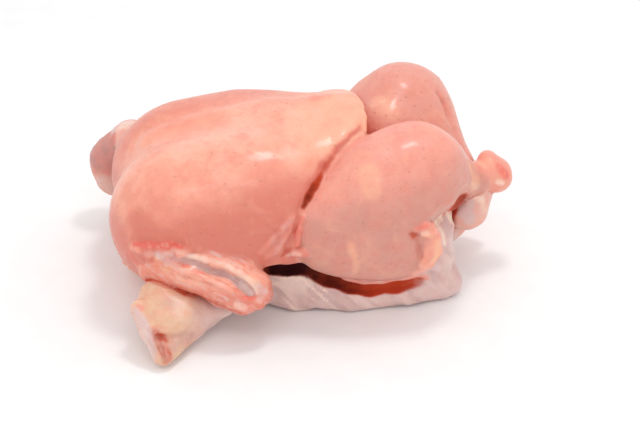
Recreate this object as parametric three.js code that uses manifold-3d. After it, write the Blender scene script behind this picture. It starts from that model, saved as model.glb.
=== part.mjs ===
// A whole raw chicken, plucked and dressed, lying on its back with its hocks crossed. Millimetres, +Z up.
// The bird is one solid. Its surface is the zero level of a distance-like field: the muscles are tapered
// limbs and ellipsoids, blended with soft unions, and the surface is walked by marching cubes, relaxed
// and brought back on the field. The back sags a little below the table's plane and is cut off flat there.
// The sizes below are in a working frame with X from the neck end to the tail, Y from the near side (-) to
// the far side (+) and Z up from the table; CENTRE brings the middle of the bird's box to X = 0, Y = 0.
import * as THREE from "three";
import { edgeTable, triTable } from "three/addons/objects/MarchingCubes.js";
import { mergeVertices } from "three/addons/utils/BufferGeometryUtils.js";
import Module from "manifold-3d";

const CENTRE = [0.12, -12.06];
// The grid's steps change along each axis at the given places: finer over the wings, the hocks and the folds.
const GRID = [
  { stops: [-156, -36, 92, 156], steps: [5.9, 7.4, 5.2] },
  { stops: [-128, -58, 58, 108], steps: [5.2, 7.4, 5.6] },
  { stops: [-12, 48, 136], steps: [5.4, 7.4] },
];
const RELAX_ROUNDS = 5;
const UNFOLD_ROUNDS = 6;

// The back and flanks: half width and height along X, with a flat underside.
const TRUNK = {
  x: [-104, -84, -56, -24, 19, 62, 90, 104],
  width: [26, 38, 46, 52, 61, 60, 54, 46],
  height: [40, 54, 66, 72, 76, 70, 60, 46],
  middle: 0.42,
  sag: 3,
  roundAbove: 2.4,
  roundBelow: { near: 4, far: 2.9 },
  ends: [-104, 103],
  endRound: 16,
  // The rear end falls back towards the far side.
  farSweep: 0.012,
  sweepFrom: 10,
};

// Limbs run through stations of [x, y, z, radius]; each one is mirrored by side where it comes in pairs.
// The loose skin of the back, spread on the table along each side.
const SKIRT = {
  near: [
    [-30, -44, 9.5, 7],
    [-6, -50, 9, 8],
    [30, -53, 8.5, 8],
    [66, -50, 7.5, 7],
    [95.5, -42, 9, 8.5],
    [97, -18, 12, 8],
  ],
  far: [
    [-30, 46, 10, 8],
    [0, 52, 9, 9],
    [40, 52, 9, 9],
    [78, 43, 13, 10],
    [93, 26, 17, 9],
  ],
};
const BREAST = {
  lobes: [
    [
      [-77.5, -30, 60.5, 48.2],
      [-54, -29, 62.6, 46.6],
      [-28, -28, 65.2, 47.2],
      [26, -18.5, 81.5, 37],
    ],
    [
      [-77.5, 30, 60.5, 48.2],
      [-54, 29, 62.6, 46.6],
      [-28, 28, 65.2, 47.2],
      [26, 20.2, 83.2, 37],
    ],
  ],
  keel: [
    [-72, 0, 76, 24],
    [-10, 0, 95, 22],
    [36, 0, 101, 20],
  ],
  narrow: 0.92,
  rearEdge: 42,
  rearRound: 9,
};
const NECK_FOLD = { at: [-92, 0, 22], radii: [30, 32, 20], tilt: 12 };
// Where the neck was cut off, a hollow in the front.
const NECK_HOLE = { at: [-125, 0, 25], radii: [15, 14, 8.5] };
const BELLY = { at: [66, 0, 62], radii: [38, 34, 36] };
// The inner thigh muscle that fills the gap behind the breast.
const INNER_THIGH = { at: [62, 23, 94], radii: [24, 22, 20] };
const TAIL = [
  [88, 15, 14, 18],
  [104, 17, 19, 15.5],
  [118, 18.5, 27, 10],
  [126, 19, 32.5, 5.5],
];
const TAIL_FLAT = [[-0.45, 0, 0.9], 0.66];
// The opening of the body cavity, between the legs and over the tail.
const VENT = [
  [100, -11, 41, 8],
  [100, 19, 41, 8],
];

const THIGH = { near: [38, -54, 60], far: [40, 54, 60], radii: [49, 26, 33], square: 2.5, tilt: 8 };
const DRUMSTICK = {
  near: [
    [46, -44, 87, 29],
    [72, -36, 87, 30],
    [115, -8, 67, 11],
  ],
  far: [
    [61, 47, 86, 26.5],
    [74.5, 45, 91.4, 30.3],
    [112, 6, 60, 13],
  ],
};
// The hollows under the near drumstick, where it leaves the thigh and where it narrows to the hock.
const KNEE_HOLLOW = [
  [86, -92, 80, 11],
  [95.5, -42, 50, 11],
];
const ANKLE_HOLLOW = [
  [91, -67, 72, 6],
  [102, -57.5, 74.5, 8.5],
  [108.5, -45.5, 71, 8],
  [115, -31, 61.5, 5.5],
];
// The hock joints, where the feet were taken off: the near one has knuckles and lies on the far one, which
// shows the flat face of its joint.
const HOCK = {
  shank: [
    [117, -6.5, 68, 9.7],
    [130, -2, 66.5, 10.5],
  ],
  knuckles: [
    { at: [132.5, -1, 64], radii: [11, 12.5, 9.5] },
    { at: [134, 0, 69], radii: [8.2, 11, 8.3] },
    { at: [127.3, 0, 73.5], radii: [7.8, 11.5, 9.3] },
  ],
  crossed: [
    [118, -5, 53.8, 12.7],
    [114.5, -12, 46, 11.2],
    [108.5, -13.5, 42.6, 10.2],
  ],
  face: { at: [113, -23.2, 47], facing: [0.1, -0.97, 0.2] },
};
// The fold of skin between each thigh and the back.
const FOLD = [
  [-36, 69, 45, 3],
  [-22, 67, 42, 5.5],
  [-9, 63, 37, 7.5],
  [14, 60, 28.2, 6.3],
  [42, 61, 17.5, 5.8],
  [58, 61, 17.5, 5.4],
  [73, 60.5, 20, 5],
];
const FOLD_FLAT = [[0, 0, 1], 0.7];

// The near wing: two bones side by side with skin stretched between them, over the flat wing tip.
const NEAR_WING = {
  bones: [
    [
      [-98, -59, 53, 9],
      [-80, -67, 56, 7],
      [-59, -72.5, 54.5, 7.3],
      [-43, -76.5, 49, 7.3],
      [-32, -80, 38.5, 7],
      [-30, -81, 31, 7],
    ],
    [
      [-98, -62, 42, 10],
      [-74, -76, 44, 9],
      [-54.5, -84, 36.5, 9],
      [-42, -85.5, 30, 8.3],
      [-35, -83, 30, 7],
    ],
  ],
  skin: [
    [-84, -70.5, 53, 4.5],
    [-67, -74, 48.5, 4.8],
    [-52, -78, 42.5, 4.8],
    [-41, -81.5, 36, 4.8],
    [-37, -83, 33, 4.8],
  ],
  tip: [
    [-56, -68, 21, 12.5],
    [-90, -85, 23.5, 17],
    [-97, -77, 33, 10],
  ],
  tipFlat: [[-0.2, -0.65, 0.75], 0.55],
  plate: [
    [-107, -89, 31],
    [-93, -111, 7.5],
    [-56, -63.5, 10],
  ],
  rim: [
    [-107.5, -90, 31, 4],
    [-102, -101, 19, 4],
    [-95.5, -110.5, 8, 3.6],
  ],
};
const FAR_WING = {
  shoulder: [
    [-92, 52, 64, 17],
    [-112, 68, 64, 14],
  ],
  forearm: [
    [-113, 73, 66.5, 13.3],
    [-127.5, 75, 50, 13.4],
    [-124.5, 74, 37.2, 12.8],
    [-90, 74, 30, 14],
    [-52, 72, 27, 11],
  ],
  plate: [
    [-64, 72, 9],
    [-22, 80, 7],
    [-46, 62, 27],
  ],
};
const PLATE_THICK = 5;
// The curl of skin at the near knee.
const CURL = [
  [78, -71, 66, 5],
  [78.5, -70, 60, 6.4],
  [79, -68, 51, 7],
  [75.5, -68.5, 43, 5.6],
  [68, -70, 37, 4],
];
// Points this close to the table's plane are pushed under it, so that the cut leaves no slivers.
const TABLE_MARGIN = 0.6;

const minus = (u, v) => u.map((c, a) => c - v[a]);
const dot = (u, v) => u[0] * v[0] + u[1] * v[1] + u[2] * v[2];
const cross = (u, v) => [u[1] * v[2] - u[2] * v[1], u[2] * v[0] - u[0] * v[2], u[0] * v[1] - u[1] * v[0]];

// Soft union and soft cut over a width k.
const join = (a, b, k) => {
  const h = Math.max(k - Math.abs(a - b), 0) / k;
  return Math.min(a, b) - h * h * k * 0.25;
};
const cut = (a, b, k) => -join(-a, -b, k);

// The point in the frame of an ellipsoid at `at`, turned by `tilt` degrees about Y.
function local(p, at, tilt = 0) {
  const a = (tilt * Math.PI) / 180;
  const [x, y, z] = [p[0] - at[0], p[1] - at[1], p[2] - at[2]];
  return [x * Math.cos(a) - z * Math.sin(a), y, x * Math.sin(a) + z * Math.cos(a)];
}

function ellipsoid(p, at, radii, tilt = 0) {
  const q = local(p, at, tilt);
  const near = Math.hypot(q[0] / radii[0], q[1] / radii[1], q[2] / radii[2]);
  const steep = Math.hypot(q[0] / radii[0] ** 2, q[1] / radii[1] ** 2, q[2] / radii[2] ** 2);
  return (near * (near - 1)) / (steep + 1e-9);
}

function superEllipsoid(p, at, radii, power, tilt) {
  const q = local(p, at, tilt);
  const sum = q.reduce((s, v, i) => s + Math.abs(v / radii[i]) ** power, 0);
  return (sum ** (1 / power) - 1) * Math.min(...radii);
}

// A tapered capsule between two stations, thinner by a factor along one direction where `flat` says so.
function capsule(p, a, b, flat) {
  const ab = [b[0] - a[0], b[1] - a[1], b[2] - a[2]];
  const q = [p[0] - a[0], p[1] - a[1], p[2] - a[2]];
  const t = Math.min(Math.max(dot(q, ab) / dot(ab, ab), 0), 1);
  let w = q.map((v, i) => v - t * ab[i]);
  if (flat) {
    const size = Math.hypot(...flat[0]);
    const d = flat[0].map((v) => v / size);
    const extra = dot(w, d) * (1 / flat[1] - 1);
    w = w.map((v, i) => v + extra * d[i]);
  }
  return Math.hypot(...w) - (a[3] + (b[3] - a[3]) * t);
}

function limb(p, stations, k, flat) {
  let d = Infinity;
  for (let i = 0; i + 1 < stations.length; i += 1) {
    const piece = capsule(p, stations[i], stations[i + 1], flat);
    d = i ? join(d, piece, k) : piece;
  }
  return d;
}

// A rounded triangular plate.
function plate(p, corners, thick) {
  const edges = corners.map((corner, i) => minus(corners[(i + 1) % 3], corner));
  const across = cross(edges[0], edges[1]);
  const size = Math.hypot(...across);
  let inside = true;
  let rim = Infinity;
  corners.forEach((corner, i) => {
    const v = minus(p, corner);
    inside &&= dot(v, cross(across, edges[i])) > 0;
    const t = Math.min(Math.max(dot(v, edges[i]) / dot(edges[i], edges[i]), 0), 1);
    rim = Math.min(rim, Math.hypot(...minus(v, edges[i].map((c) => t * c))));
  });
  return (inside ? Math.abs(dot(minus(p, corners[0]), across)) / size : rim) - thick;
}

// Monotone cubic through (xs, ys), with its slopes worked out once.
function curve(xs, ys) {
  const n = xs.length;
  const run = xs.slice(1).map((x, i) => x - xs[i]);
  const rise = ys.slice(1).map((y, i) => (y - ys[i]) / run[i]);
  const inner = (i) => {
    if (rise[i - 1] * rise[i] <= 0) return 0;
    const [w1, w2] = [2 * run[i] + run[i - 1], run[i] + 2 * run[i - 1]];
    return (w1 + w2) / (w1 / rise[i - 1] + w2 / rise[i]);
  };
  const end = (h0, h1, d0, d1) => {
    const m = ((2 * h0 + h1) * d0 - h0 * d1) / (h0 + h1);
    if (m * d0 <= 0) return 0;
    return d0 * d1 <= 0 && Math.abs(m) > 3 * Math.abs(d0) ? 3 * d0 : m;
  };
  const slope = ys.map((_, i) => {
    if (i === 0) return end(run[0], run[1], rise[0], rise[1]);
    if (i === n - 1) return end(run[n - 2], run[n - 3], rise[n - 2], rise[n - 3]);
    return inner(i);
  });
  return (value) => {
    const x = Math.min(Math.max(value, xs[0]), xs[n - 1]);
    let i = 0;
    while (i < n - 2 && x > xs[i + 1]) i += 1;
    const t = (x - xs[i]) / run[i];
    const u = 1 - t;
    const steps = slope[i] * run[i] * t * u * u - slope[i + 1] * run[i] * t * t * u;
    return ys[i] * (1 + 2 * t) * u * u + ys[i + 1] * t * t * (3 - 2 * t) + steps;
  };
}
const widthAt = curve(TRUNK.x, TRUNK.width);
const heightAt = curve(TRUNK.x, TRUNK.height);

function trunk(p) {
  const [w, t] = [widthAt(p[0]), heightAt(p[0])];
  const middle = t * TRUNK.middle;
  const above = p[2] > middle;
  const half = above ? t - middle : middle + TRUNK.sag;
  const power = above ? TRUNK.roundAbove : TRUNK.roundBelow[p[1] < 0 ? "near" : "far"];
  const sum = Math.abs(p[1] / w) ** power + Math.abs((p[2] - middle) / half) ** power;
  const rear = TRUNK.ends[1] - TRUNK.farSweep * Math.max(p[1] - TRUNK.sweepFrom, 0) ** 2;
  const ends = Math.max(TRUNK.ends[0] - p[0], p[0] - rear);
  return cut((sum ** (1 / power) - 1) * Math.min(w, half), ends, TRUNK.endRound);
}

const mirrored = (stations, side) => stations.map(([x, y, z, r]) => [x, side * y, z, r]);
const folds = [-1, 1].map((side) => mirrored(FOLD, side));

function breast(p) {
  const narrow = [[0, 1, 0], BREAST.narrow];
  const [near, far] = BREAST.lobes.map((lobe) => limb(p, lobe, 20, narrow));
  const whole = join(join(near, far, 22), limb(p, BREAST.keel, 10), 18);
  return cut(whole, p[0] - BREAST.rearEdge, BREAST.rearRound);
}

function nearLeg(p) {
  const thigh = superEllipsoid(p, THIGH.near, THIGH.radii, THIGH.square, THIGH.tilt);
  let leg = join(thigh, limb(p, DRUMSTICK.near, 22), 20);
  leg = cut(leg, -limb(p, KNEE_HOLLOW, 6), 8);
  leg = cut(leg, -limb(p, ANKLE_HOLLOW, 6), 6);
  let hock = limb(p, HOCK.shank, 6);
  for (const { at, radii } of HOCK.knuckles) hock = join(hock, ellipsoid(p, at, radii), 4);
  return join(leg, hock, 5);
}

function farLeg(p) {
  const thigh = superEllipsoid(p, THIGH.far, THIGH.radii, THIGH.square, THIGH.tilt);
  let leg = join(thigh, limb(p, DRUMSTICK.far, 22), 14);
  leg = join(leg, ellipsoid(p, INNER_THIGH.at, INNER_THIGH.radii), 8);
  const { at, facing } = HOCK.face;
  return join(leg, cut(limb(p, HOCK.crossed, 6), dot(minus(p, at), facing), 5), 5);
}

function nearWing(p) {
  const [high, low] = NEAR_WING.bones.map((bone) => limb(p, bone, 5));
  const bones = join(join(high, low, 3), limb(p, NEAR_WING.skin, 4), 4);
  const tip = join(limb(p, NEAR_WING.tip, 8, NEAR_WING.tipFlat), plate(p, NEAR_WING.plate, PLATE_THICK), 9);
  return join(bones, join(tip, limb(p, NEAR_WING.rim, 3), 4), 3);
}

function farWing(p) {
  const wing = join(limb(p, FAR_WING.shoulder, 8), limb(p, FAR_WING.forearm, 10), 8);
  return join(wing, plate(p, FAR_WING.plate, PLATE_THICK), 7);
}

function chicken(p) {
  let d = join(trunk(p), ellipsoid(p, NECK_FOLD.at, NECK_FOLD.radii, NECK_FOLD.tilt), 10);
  d = join(d, ellipsoid(p, BELLY.at, BELLY.radii), 10);
  d = join(d, Math.min(limb(p, SKIRT.near, 8), limb(p, SKIRT.far, 8)), 8);
  d = join(breast(p), d, 8);
  d = join(d, join(nearLeg(p), farLeg(p), 5), 6);
  for (const fold of folds) d = cut(d, -limb(p, fold, 6, FOLD_FLAT), 4);
  d = cut(d, -ellipsoid(p, NECK_HOLE.at, NECK_HOLE.radii), 4);
  d = cut(d, -limb(p, VENT, 4), 4);
  d = join(d, limb(p, TAIL, 6, TAIL_FLAT), 9);
  d = join(d, limb(p, CURL, 3), 5);
  d = join(d, nearWing(p), 5);
  return join(d, farWing(p), 6);
}

// Marching cubes over the span. The cube's corners and edges are in the order of three's own tables.
const CORNERS = [0, 1, 3, 2, 4, 5, 7, 6].map((i) => [i & 1, (i >> 1) & 1, i >> 2]);
const EDGES = [
  [0, 0, 0, 0],
  [1, 0, 0, 1],
  [0, 1, 0, 0],
  [0, 0, 0, 1],
  [0, 0, 1, 0],
  [1, 0, 1, 1],
  [0, 1, 1, 0],
  [0, 0, 1, 1],
  [0, 0, 0, 2],
  [1, 0, 0, 2],
  [1, 1, 0, 2],
  [0, 1, 0, 2],
];

// The grid's coordinates along one axis, with each stretch divided into equal steps.
function ticks({ stops, steps }) {
  const list = [stops[0]];
  steps.forEach((step, i) => {
    const parts = Math.round((stops[i + 1] - stops[i]) / step);
    for (let n = 1; n <= parts; n += 1) list.push(stops[i] + ((stops[i + 1] - stops[i]) * n) / parts);
  });
  return list;
}

function polygonise(field) {
  const axes = GRID.map(ticks);
  const count = axes.map((list) => list.length);
  const at = (i, j, k) => (k * count[1] + j) * count[0] + i;
  const place = (i, j, k) => [axes[0][i], axes[1][j], axes[2][k]];
  const values = new Float64Array(count[0] * count[1] * count[2]);
  const least = 0.5;
  for (let k = 0; k < count[2]; k += 1)
    for (let j = 0; j < count[1]; j += 1)
      for (let i = 0; i < count[0]; i += 1) {
        const v = field(place(i, j, k));
        values[at(i, j, k)] = Math.abs(v) < least ? least * (v < 0 ? -1 : 1) : v;
      }
  const points = [];
  const known = new Map();
  const crossing = (i, j, k, axis) => {
    const key = at(i, j, k) * 3 + axis;
    if (!known.has(key)) {
      const next = [i + (axis === 0), j + (axis === 1), k + (axis === 2)];
      const [a, b] = [values[at(i, j, k)], values[at(...next)]];
      const p = place(i, j, k);
      p[axis] += ((place(...next)[axis] - p[axis]) * a) / (a - b);
      known.set(key, points.push(p) - 1);
    }
    return known.get(key);
  };
  const faces = [];
  for (let k = 0; k + 1 < count[2]; k += 1)
    for (let j = 0; j + 1 < count[1]; j += 1)
      for (let i = 0; i + 1 < count[0]; i += 1) {
        let cube = 0;
        CORNERS.forEach(([a, b, c], bit) => {
          if (values[at(i + a, j + b, k + c)] > 0) cube |= 1 << bit;
        });
        if (!edgeTable[cube]) continue;
        for (let t = cube * 16; triTable[t] >= 0; t += 3) {
          const face = [0, 1, 2].map((n) => {
            const [a, b, c, axis] = EDGES[triTable[t + n]];
            return crossing(i + a, j + b, k + c, axis);
          });
          faces.push(face);
        }
      }
  return { points, faces };
}

function slope(field, p) {
  const e = 0.3;
  return [0, 1, 2].map((a) => {
    const [up, down] = [p.slice(), p.slice()];
    up[a] += e;
    down[a] -= e;
    return (field(up) - field(down)) / (2 * e);
  });
}

// Steps a point back on the surface, at most a few millimetres at a time.
function ground(field, p) {
  for (let n = 0; n < 3; n += 1) {
    const g = slope(field, p);
    const size = g[0] ** 2 + g[1] ** 2 + g[2] ** 2 + 1e-6;
    const back = Math.min(Math.max(field(p) / size, -2.5), 2.5);
    for (let a = 0; a < 3; a += 1) p[a] -= back * g[a];
  }
  return p;
}

// Spreads the points evenly along the surface. Points whose faces have turned over in a deep crease are
// then drawn to the middle of their neighbours.
function relax(field, { points, faces }) {
  const around = points.map(() => new Set());
  for (const face of faces) face.forEach((v, i) => around[v].add(face[(i + 1) % 3]));
  const mean = (placed, v) => {
    const sum = [0, 0, 0];
    for (const other of around[v]) placed[other].forEach((c, a) => (sum[a] += c));
    return sum.map((c) => c / around[v].size);
  };
  let placed = points.map((p) => ground(field, p.slice()));
  for (let round = 0; round < RELAX_ROUNDS; round += 1)
    placed = placed.map((p, v) => {
      const g = new THREE.Vector3(...slope(field, p)).normalize().toArray();
      const pull = minus(mean(placed, v), p);
      const lift = pull[0] * g[0] + pull[1] * g[1] + pull[2] * g[2];
      return ground(field, p.map((c, a) => c + 0.5 * (pull[a] - lift * g[a])));
    });
  const normal = (face) => {
    const [a, b, c] = face.map((v) => new THREE.Vector3(...placed[v]));
    return b.sub(a).cross(c.sub(a)).normalize();
  };
  for (let round = 0; round < UNFOLD_ROUNDS; round += 1) {
    const sum = points.map(() => new THREE.Vector3());
    const normals = faces.map(normal);
    faces.forEach((face, f) => face.forEach((v) => sum[v].add(normals[f])));
    const folded = new Set();
    faces.forEach((face, f) => {
      for (const v of face) if (normals[f].dot(sum[v].clone().normalize()) < 0.35) folded.add(v);
    });
    placed = placed.map((p, v) => (folded.has(v) ? mean(placed, v) : p));
  }
  return placed;
}

const kit = await Module();
kit.setup();

const body = (positions, triangles) =>
  new kit.Manifold(
    new kit.Mesh({
      numProp: 3,
      vertProperties: new Float32Array(positions),
      triVerts: new Uint32Array(triangles),
    }),
  );

// A block whose top is the table, wide enough for the whole bird.
function table() {
  const box = new THREE.BoxGeometry(400, 400, 40).translate(0, 0, -20);
  const block = mergeVertices(box.deleteAttribute("normal").deleteAttribute("uv"));
  return body(block.attributes.position.array, block.index.array);
}

function solid(field) {
  const surface = polygonise(field);
  const placed = relax(field, surface).map(([x, y, z]) => [
    x - CENTRE[0],
    y - CENTRE[1],
    Math.abs(z) < TABLE_MARGIN ? -TABLE_MARGIN : z,
  ]);
  const resting = body(placed.flat(), surface.faces.flat()).subtract(table()).getMesh();
  const geometry = new THREE.BufferGeometry();
  geometry.setAttribute("position", new THREE.BufferAttribute(resting.vertProperties, 3));
  geometry.setIndex(new THREE.BufferAttribute(resting.triVerts, 1));
  geometry.computeVertexNormals();
  return geometry;
}

const skin = new THREE.MeshStandardMaterial({ color: 0xe6a48c, roughness: 0.45, metalness: 0 });
const bird = new THREE.Mesh(solid(chicken), skin);
bird.name = "chicken";

const part = new THREE.Group();
part.add(bird);
export default part;
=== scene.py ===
"""A whole raw chicken, plucked and dressed, lying on its back with its hocks crossed.

The skin is the zero level of a distance-like field, worked out from the named sizes below in a working
frame in millimetres: X from the neck end to the tail, Y from the near side (-) to the far side (+) and Z
up from the table. It is meshed at a fine step, relaxed, and given the masks that its material reads.
"""

import functools
import math

import bpy
import numpy as np
from bpy.props import FloatProperty, FloatVectorProperty, IntProperty, PointerProperty
from mathutils import Matrix, Vector


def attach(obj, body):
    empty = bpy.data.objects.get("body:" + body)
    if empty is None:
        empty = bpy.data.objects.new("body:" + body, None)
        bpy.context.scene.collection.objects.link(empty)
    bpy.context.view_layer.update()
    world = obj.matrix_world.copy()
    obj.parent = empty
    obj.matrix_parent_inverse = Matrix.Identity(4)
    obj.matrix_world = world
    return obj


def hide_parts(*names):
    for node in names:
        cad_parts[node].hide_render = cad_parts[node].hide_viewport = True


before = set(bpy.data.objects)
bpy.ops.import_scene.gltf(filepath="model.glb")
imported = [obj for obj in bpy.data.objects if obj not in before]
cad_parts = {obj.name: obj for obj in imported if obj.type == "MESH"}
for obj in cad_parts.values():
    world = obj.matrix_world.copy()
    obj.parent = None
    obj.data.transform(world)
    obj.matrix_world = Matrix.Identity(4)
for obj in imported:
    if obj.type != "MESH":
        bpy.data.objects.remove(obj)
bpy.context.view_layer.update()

bl_info = {
    "name": "Whole Raw Chicken",
    "version": (1, 0, 0),
    "blender": (4, 5, 0),
    "location": "View3D > Sidebar > Chicken",
    "description": "Models a whole raw chicken lying on its back",
    "category": "Add Mesh",
}

BODY = "root"
NODE = "chicken"
MM = 0.001
# The middle of the bird's box in the working frame, which is the origin of the row's frame.
CENTRE = (0.12, -12.06)

# ---- sizes in the working frame, millimetres
TRUNK = {
    "x": (-104, -84, -56, -24, 19, 62, 90, 104),
    "width": (26, 38, 46, 52, 61, 60, 54, 46),
    "height": (40, 54, 66, 72, 76, 70, 60, 46),
    "middle": 0.42,
    "sag": 3.0,
    "round_above": 2.4,
    "round_below": (4.0, 2.9),
    "ends": (-104, 103),
    "end_round": 16.0,
    "far_sweep": 0.012,
}
# A limb runs through stations of (x, y, z, radius).
SKIRT = (
    ((-30, -44, 9.5, 7), (-6, -50, 9, 8), (30, -53, 8.5, 8), (66, -50, 7.5, 7), (95.5, -42, 9, 8.5), (97, -18, 12, 8)),
    ((-30, 46, 10, 8), (0, 52, 9, 9), (40, 52, 9, 9), (78, 43, 13, 10), (93, 26, 17, 9)),
)
BREAST_LOBES = (
    ((-77.5, -30, 60.5, 48.2), (-54, -29, 62.6, 46.6), (-28, -28, 65.2, 47.2), (26, -18.5, 81.5, 37)),
    ((-77.5, 30, 60.5, 48.2), (-54, 29, 62.6, 46.6), (-28, 28, 65.2, 47.2), (26, 20.2, 83.2, 37)),
)
BREAST_KEEL = ((-72, 0, 76, 24), (-10, 0, 95, 22), (36, 0, 101, 20))
BREAST_NARROW = ((0, 1, 0), 0.92)
BREAST_REAR = 42.0
NECK_FOLD = ((-92, 0, 22), (30, 32, 20), 12)
# Where the neck was cut off, a hollow in the front between folds of loose skin.
NECK_HOLE = ((-125, 0, 25), (15, 14, 8.5))
NECK_RIM = ((-117.5, 0, 25), (16.5, 11))
NECK_DEPTH = ((-112, 0, 25), (9, 10, 6))
BELLY = ((66, 0, 62), (38, 34, 36))
# The inner thigh muscle that fills the gap behind the breast.
INNER_THIGH = ((62, 23, 94), (24, 22, 20))
TAIL = ((88, 15, 14, 18), (104, 17, 19, 15.5), (118, 18.5, 27, 10), (126, 19, 32.5, 5.5))
TAIL_FLAT = ((-0.45, 0, 0.9), 0.66)
THIGH = {"near": (38, -54, 60), "far": (40, 54, 60), "radii": (49, 26, 33), "square": 2.5, "tilt": 8}
DRUMSTICK = {
    "near": ((46, -44, 87, 29), (72, -36, 87, 30), (115, -8, 67, 11)),
    "far": ((61, 47, 86, 26.5), (74.5, 45, 91.4, 30.3), (112, 6, 60, 13)),
}
# The hollows under the near drumstick, where it leaves the thigh and where it narrows to the hock.
KNEE_HOLLOW = ((86, -92, 80, 11), (95.5, -42, 50, 11))
ANKLE_HOLLOW = ((91, -67, 72, 6), (102, -57.5, 74.5, 8.5), (108.5, -45.5, 71, 8), (115, -31, 61.5, 5.5))
SHANK = ((117, -6.5, 68, 9.7), (130, -2, 66.5, 10.5))
KNUCKLES = (
    ((132.5, -1, 64), (11, 12.5, 9.5)), ((134, 0, 69), (8.2, 11, 8.3)), ((127.3, 0, 73.5), (7.8, 11.5, 9.3)),
)
CROSSED_HOCK = ((117.4, -5, 54, 12.6), (113.4, -12, 46.2, 11), (108.5, -13.5, 42.6, 10.2))
HOCK_FACE = ((113, -23.2, 47), (0.1, -0.97, 0.2))
# The pocket between each thigh and the back, on the far side and mirrored on the near one.
FOLD = (
    (-36, 69, 45, 3), (-22, 67, 42.6, 6.3), (-9, 63, 37, 7.8), (14, 60, 25.8, 5.2),
    (28, 60.3, 19.7, 3.4), (42, 61, 16.8, 3.9), (58, 61, 17.9, 4.3), (73, 60.5, 20, 4.6),
)
FOLD_FLAT = ((0, 0, 1), 0.7)
# The near wing: two bones side by side over the flat wing tip.
WING_BONES = (
    (
        (-98, -59, 53, 9), (-80, -67, 56, 7), (-59, -72.5, 54.5, 7.3), (-43, -76.5, 49, 7.3),
        (-32, -80, 38.5, 7), (-30, -81, 31, 7),
    ),
    ((-98, -62, 42, 10), (-74, -76, 44, 9), (-54.5, -84, 36.5, 9), (-42, -85.5, 30, 8.3), (-35, -83, 30, 7)),
)
WING_TIP = ((-56, -68, 21, 12.5), (-90, -85, 23.5, 17), (-97, -77, 33, 10))
WING_TIP_FLAT = ((-0.2, -0.65, 0.75), 0.55)
WING_PLATE = ((-107, -89, 31), (-93, -111, 7.5), (-56, -63.5, 10))
PLATE_THICK = 5.0
# The skin stretched between the two wing bones, a little below their level.
WING_SKIN = (
    (-84, -70.5, 53, 4.5), (-67, -74, 48.5, 4.8), (-52, -78, 42.5, 4.8), (-41, -81.5, 36, 4.8), (-37, -83, 33, 4.8),
)
# Loose, crumpled skin over the wing's wrist.
CRUMPLED = ((-104, -62, 53, 7), (-90, -69, 60, 7), (-80, -70, 63, 4))
# The fibres of the wing's skin: the way they run, and their length, width and depth.
WING_FIBRES = {"along": (44, -12, -19), "size": (17, 2.4, 3)}
FAR_SHOULDER = ((-92, 52, 64, 17), (-112, 68, 64, 14))
FAR_FOREARM = (
    (-113, 73, 66.5, 13.3), (-127.5, 75, 50, 13.4), (-124.5, 74, 37.2, 12.8), (-90, 74, 30, 14), (-52, 72, 27, 11),
)
FAR_TIP = ((-64, 72, 9), (-22, 80, 7), (-46, 62, 27))
# The opening of the body cavity, between the legs and over the tail.
VENT = ((100, -11, 41, 8), (100, 19, 41, 8))
VENT_DEPTH = ((95, -4, 41, 5), (95, 12, 41, 5))
# The breast dives under the near thigh's edge along this line.
SEAM = (
    (42, -22, 117, 1.1), (33, -31.5, 115, 1.4), (23, -40.5, 110, 1.8), (13, -50.5, 103, 2.2),
    (5.3, -60, 95, 2.5), (-0.5, -66.5, 88, 2.4), (-5.5, -71.5, 81.5, 1.0),
)
# How deep a red shade is painted inside each sort of crease and over what width, and the red shade painted where two
# masses touch.
RED_CREASES = (
    ("branch", 0.25, 1.6), ("flank", 0.12, 1.6), ("rump_fold", 0.14, 1.6), ("neck_crease", 0.22, 1.6),
    ("far_groove", 0.18, 2),
)
TOUCHING = (("wing_bones", "wing_tip", 0.9), ("near_leg", "far_hock", 0.7), ("near_hock", "far_hock", 0.6))


def ring(at, radii, r, count=12):
    """Stations round an upright ellipse that faces along X."""
    turns = [2 * math.pi * i / count for i in range(count + 1)]
    return tuple((at[0], at[1] + radii[0] * math.cos(t), at[2] + radii[1] * math.sin(t), r) for t in turns)


def rows(text):
    """(name, numbers, stations) from each row of a table. A row that ends with a comma goes on below."""
    table = []
    for row in text.replace(",\n", ",").strip().splitlines():
        if not row.startswith("#"):
            head, tail = row.split(":")
            name, *numbers = head.split()
            stations = tuple(tuple(map(float, station.split())) for station in tail.split(","))
            table.append((name, *map(float, numbers), stations))
    return table


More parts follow.
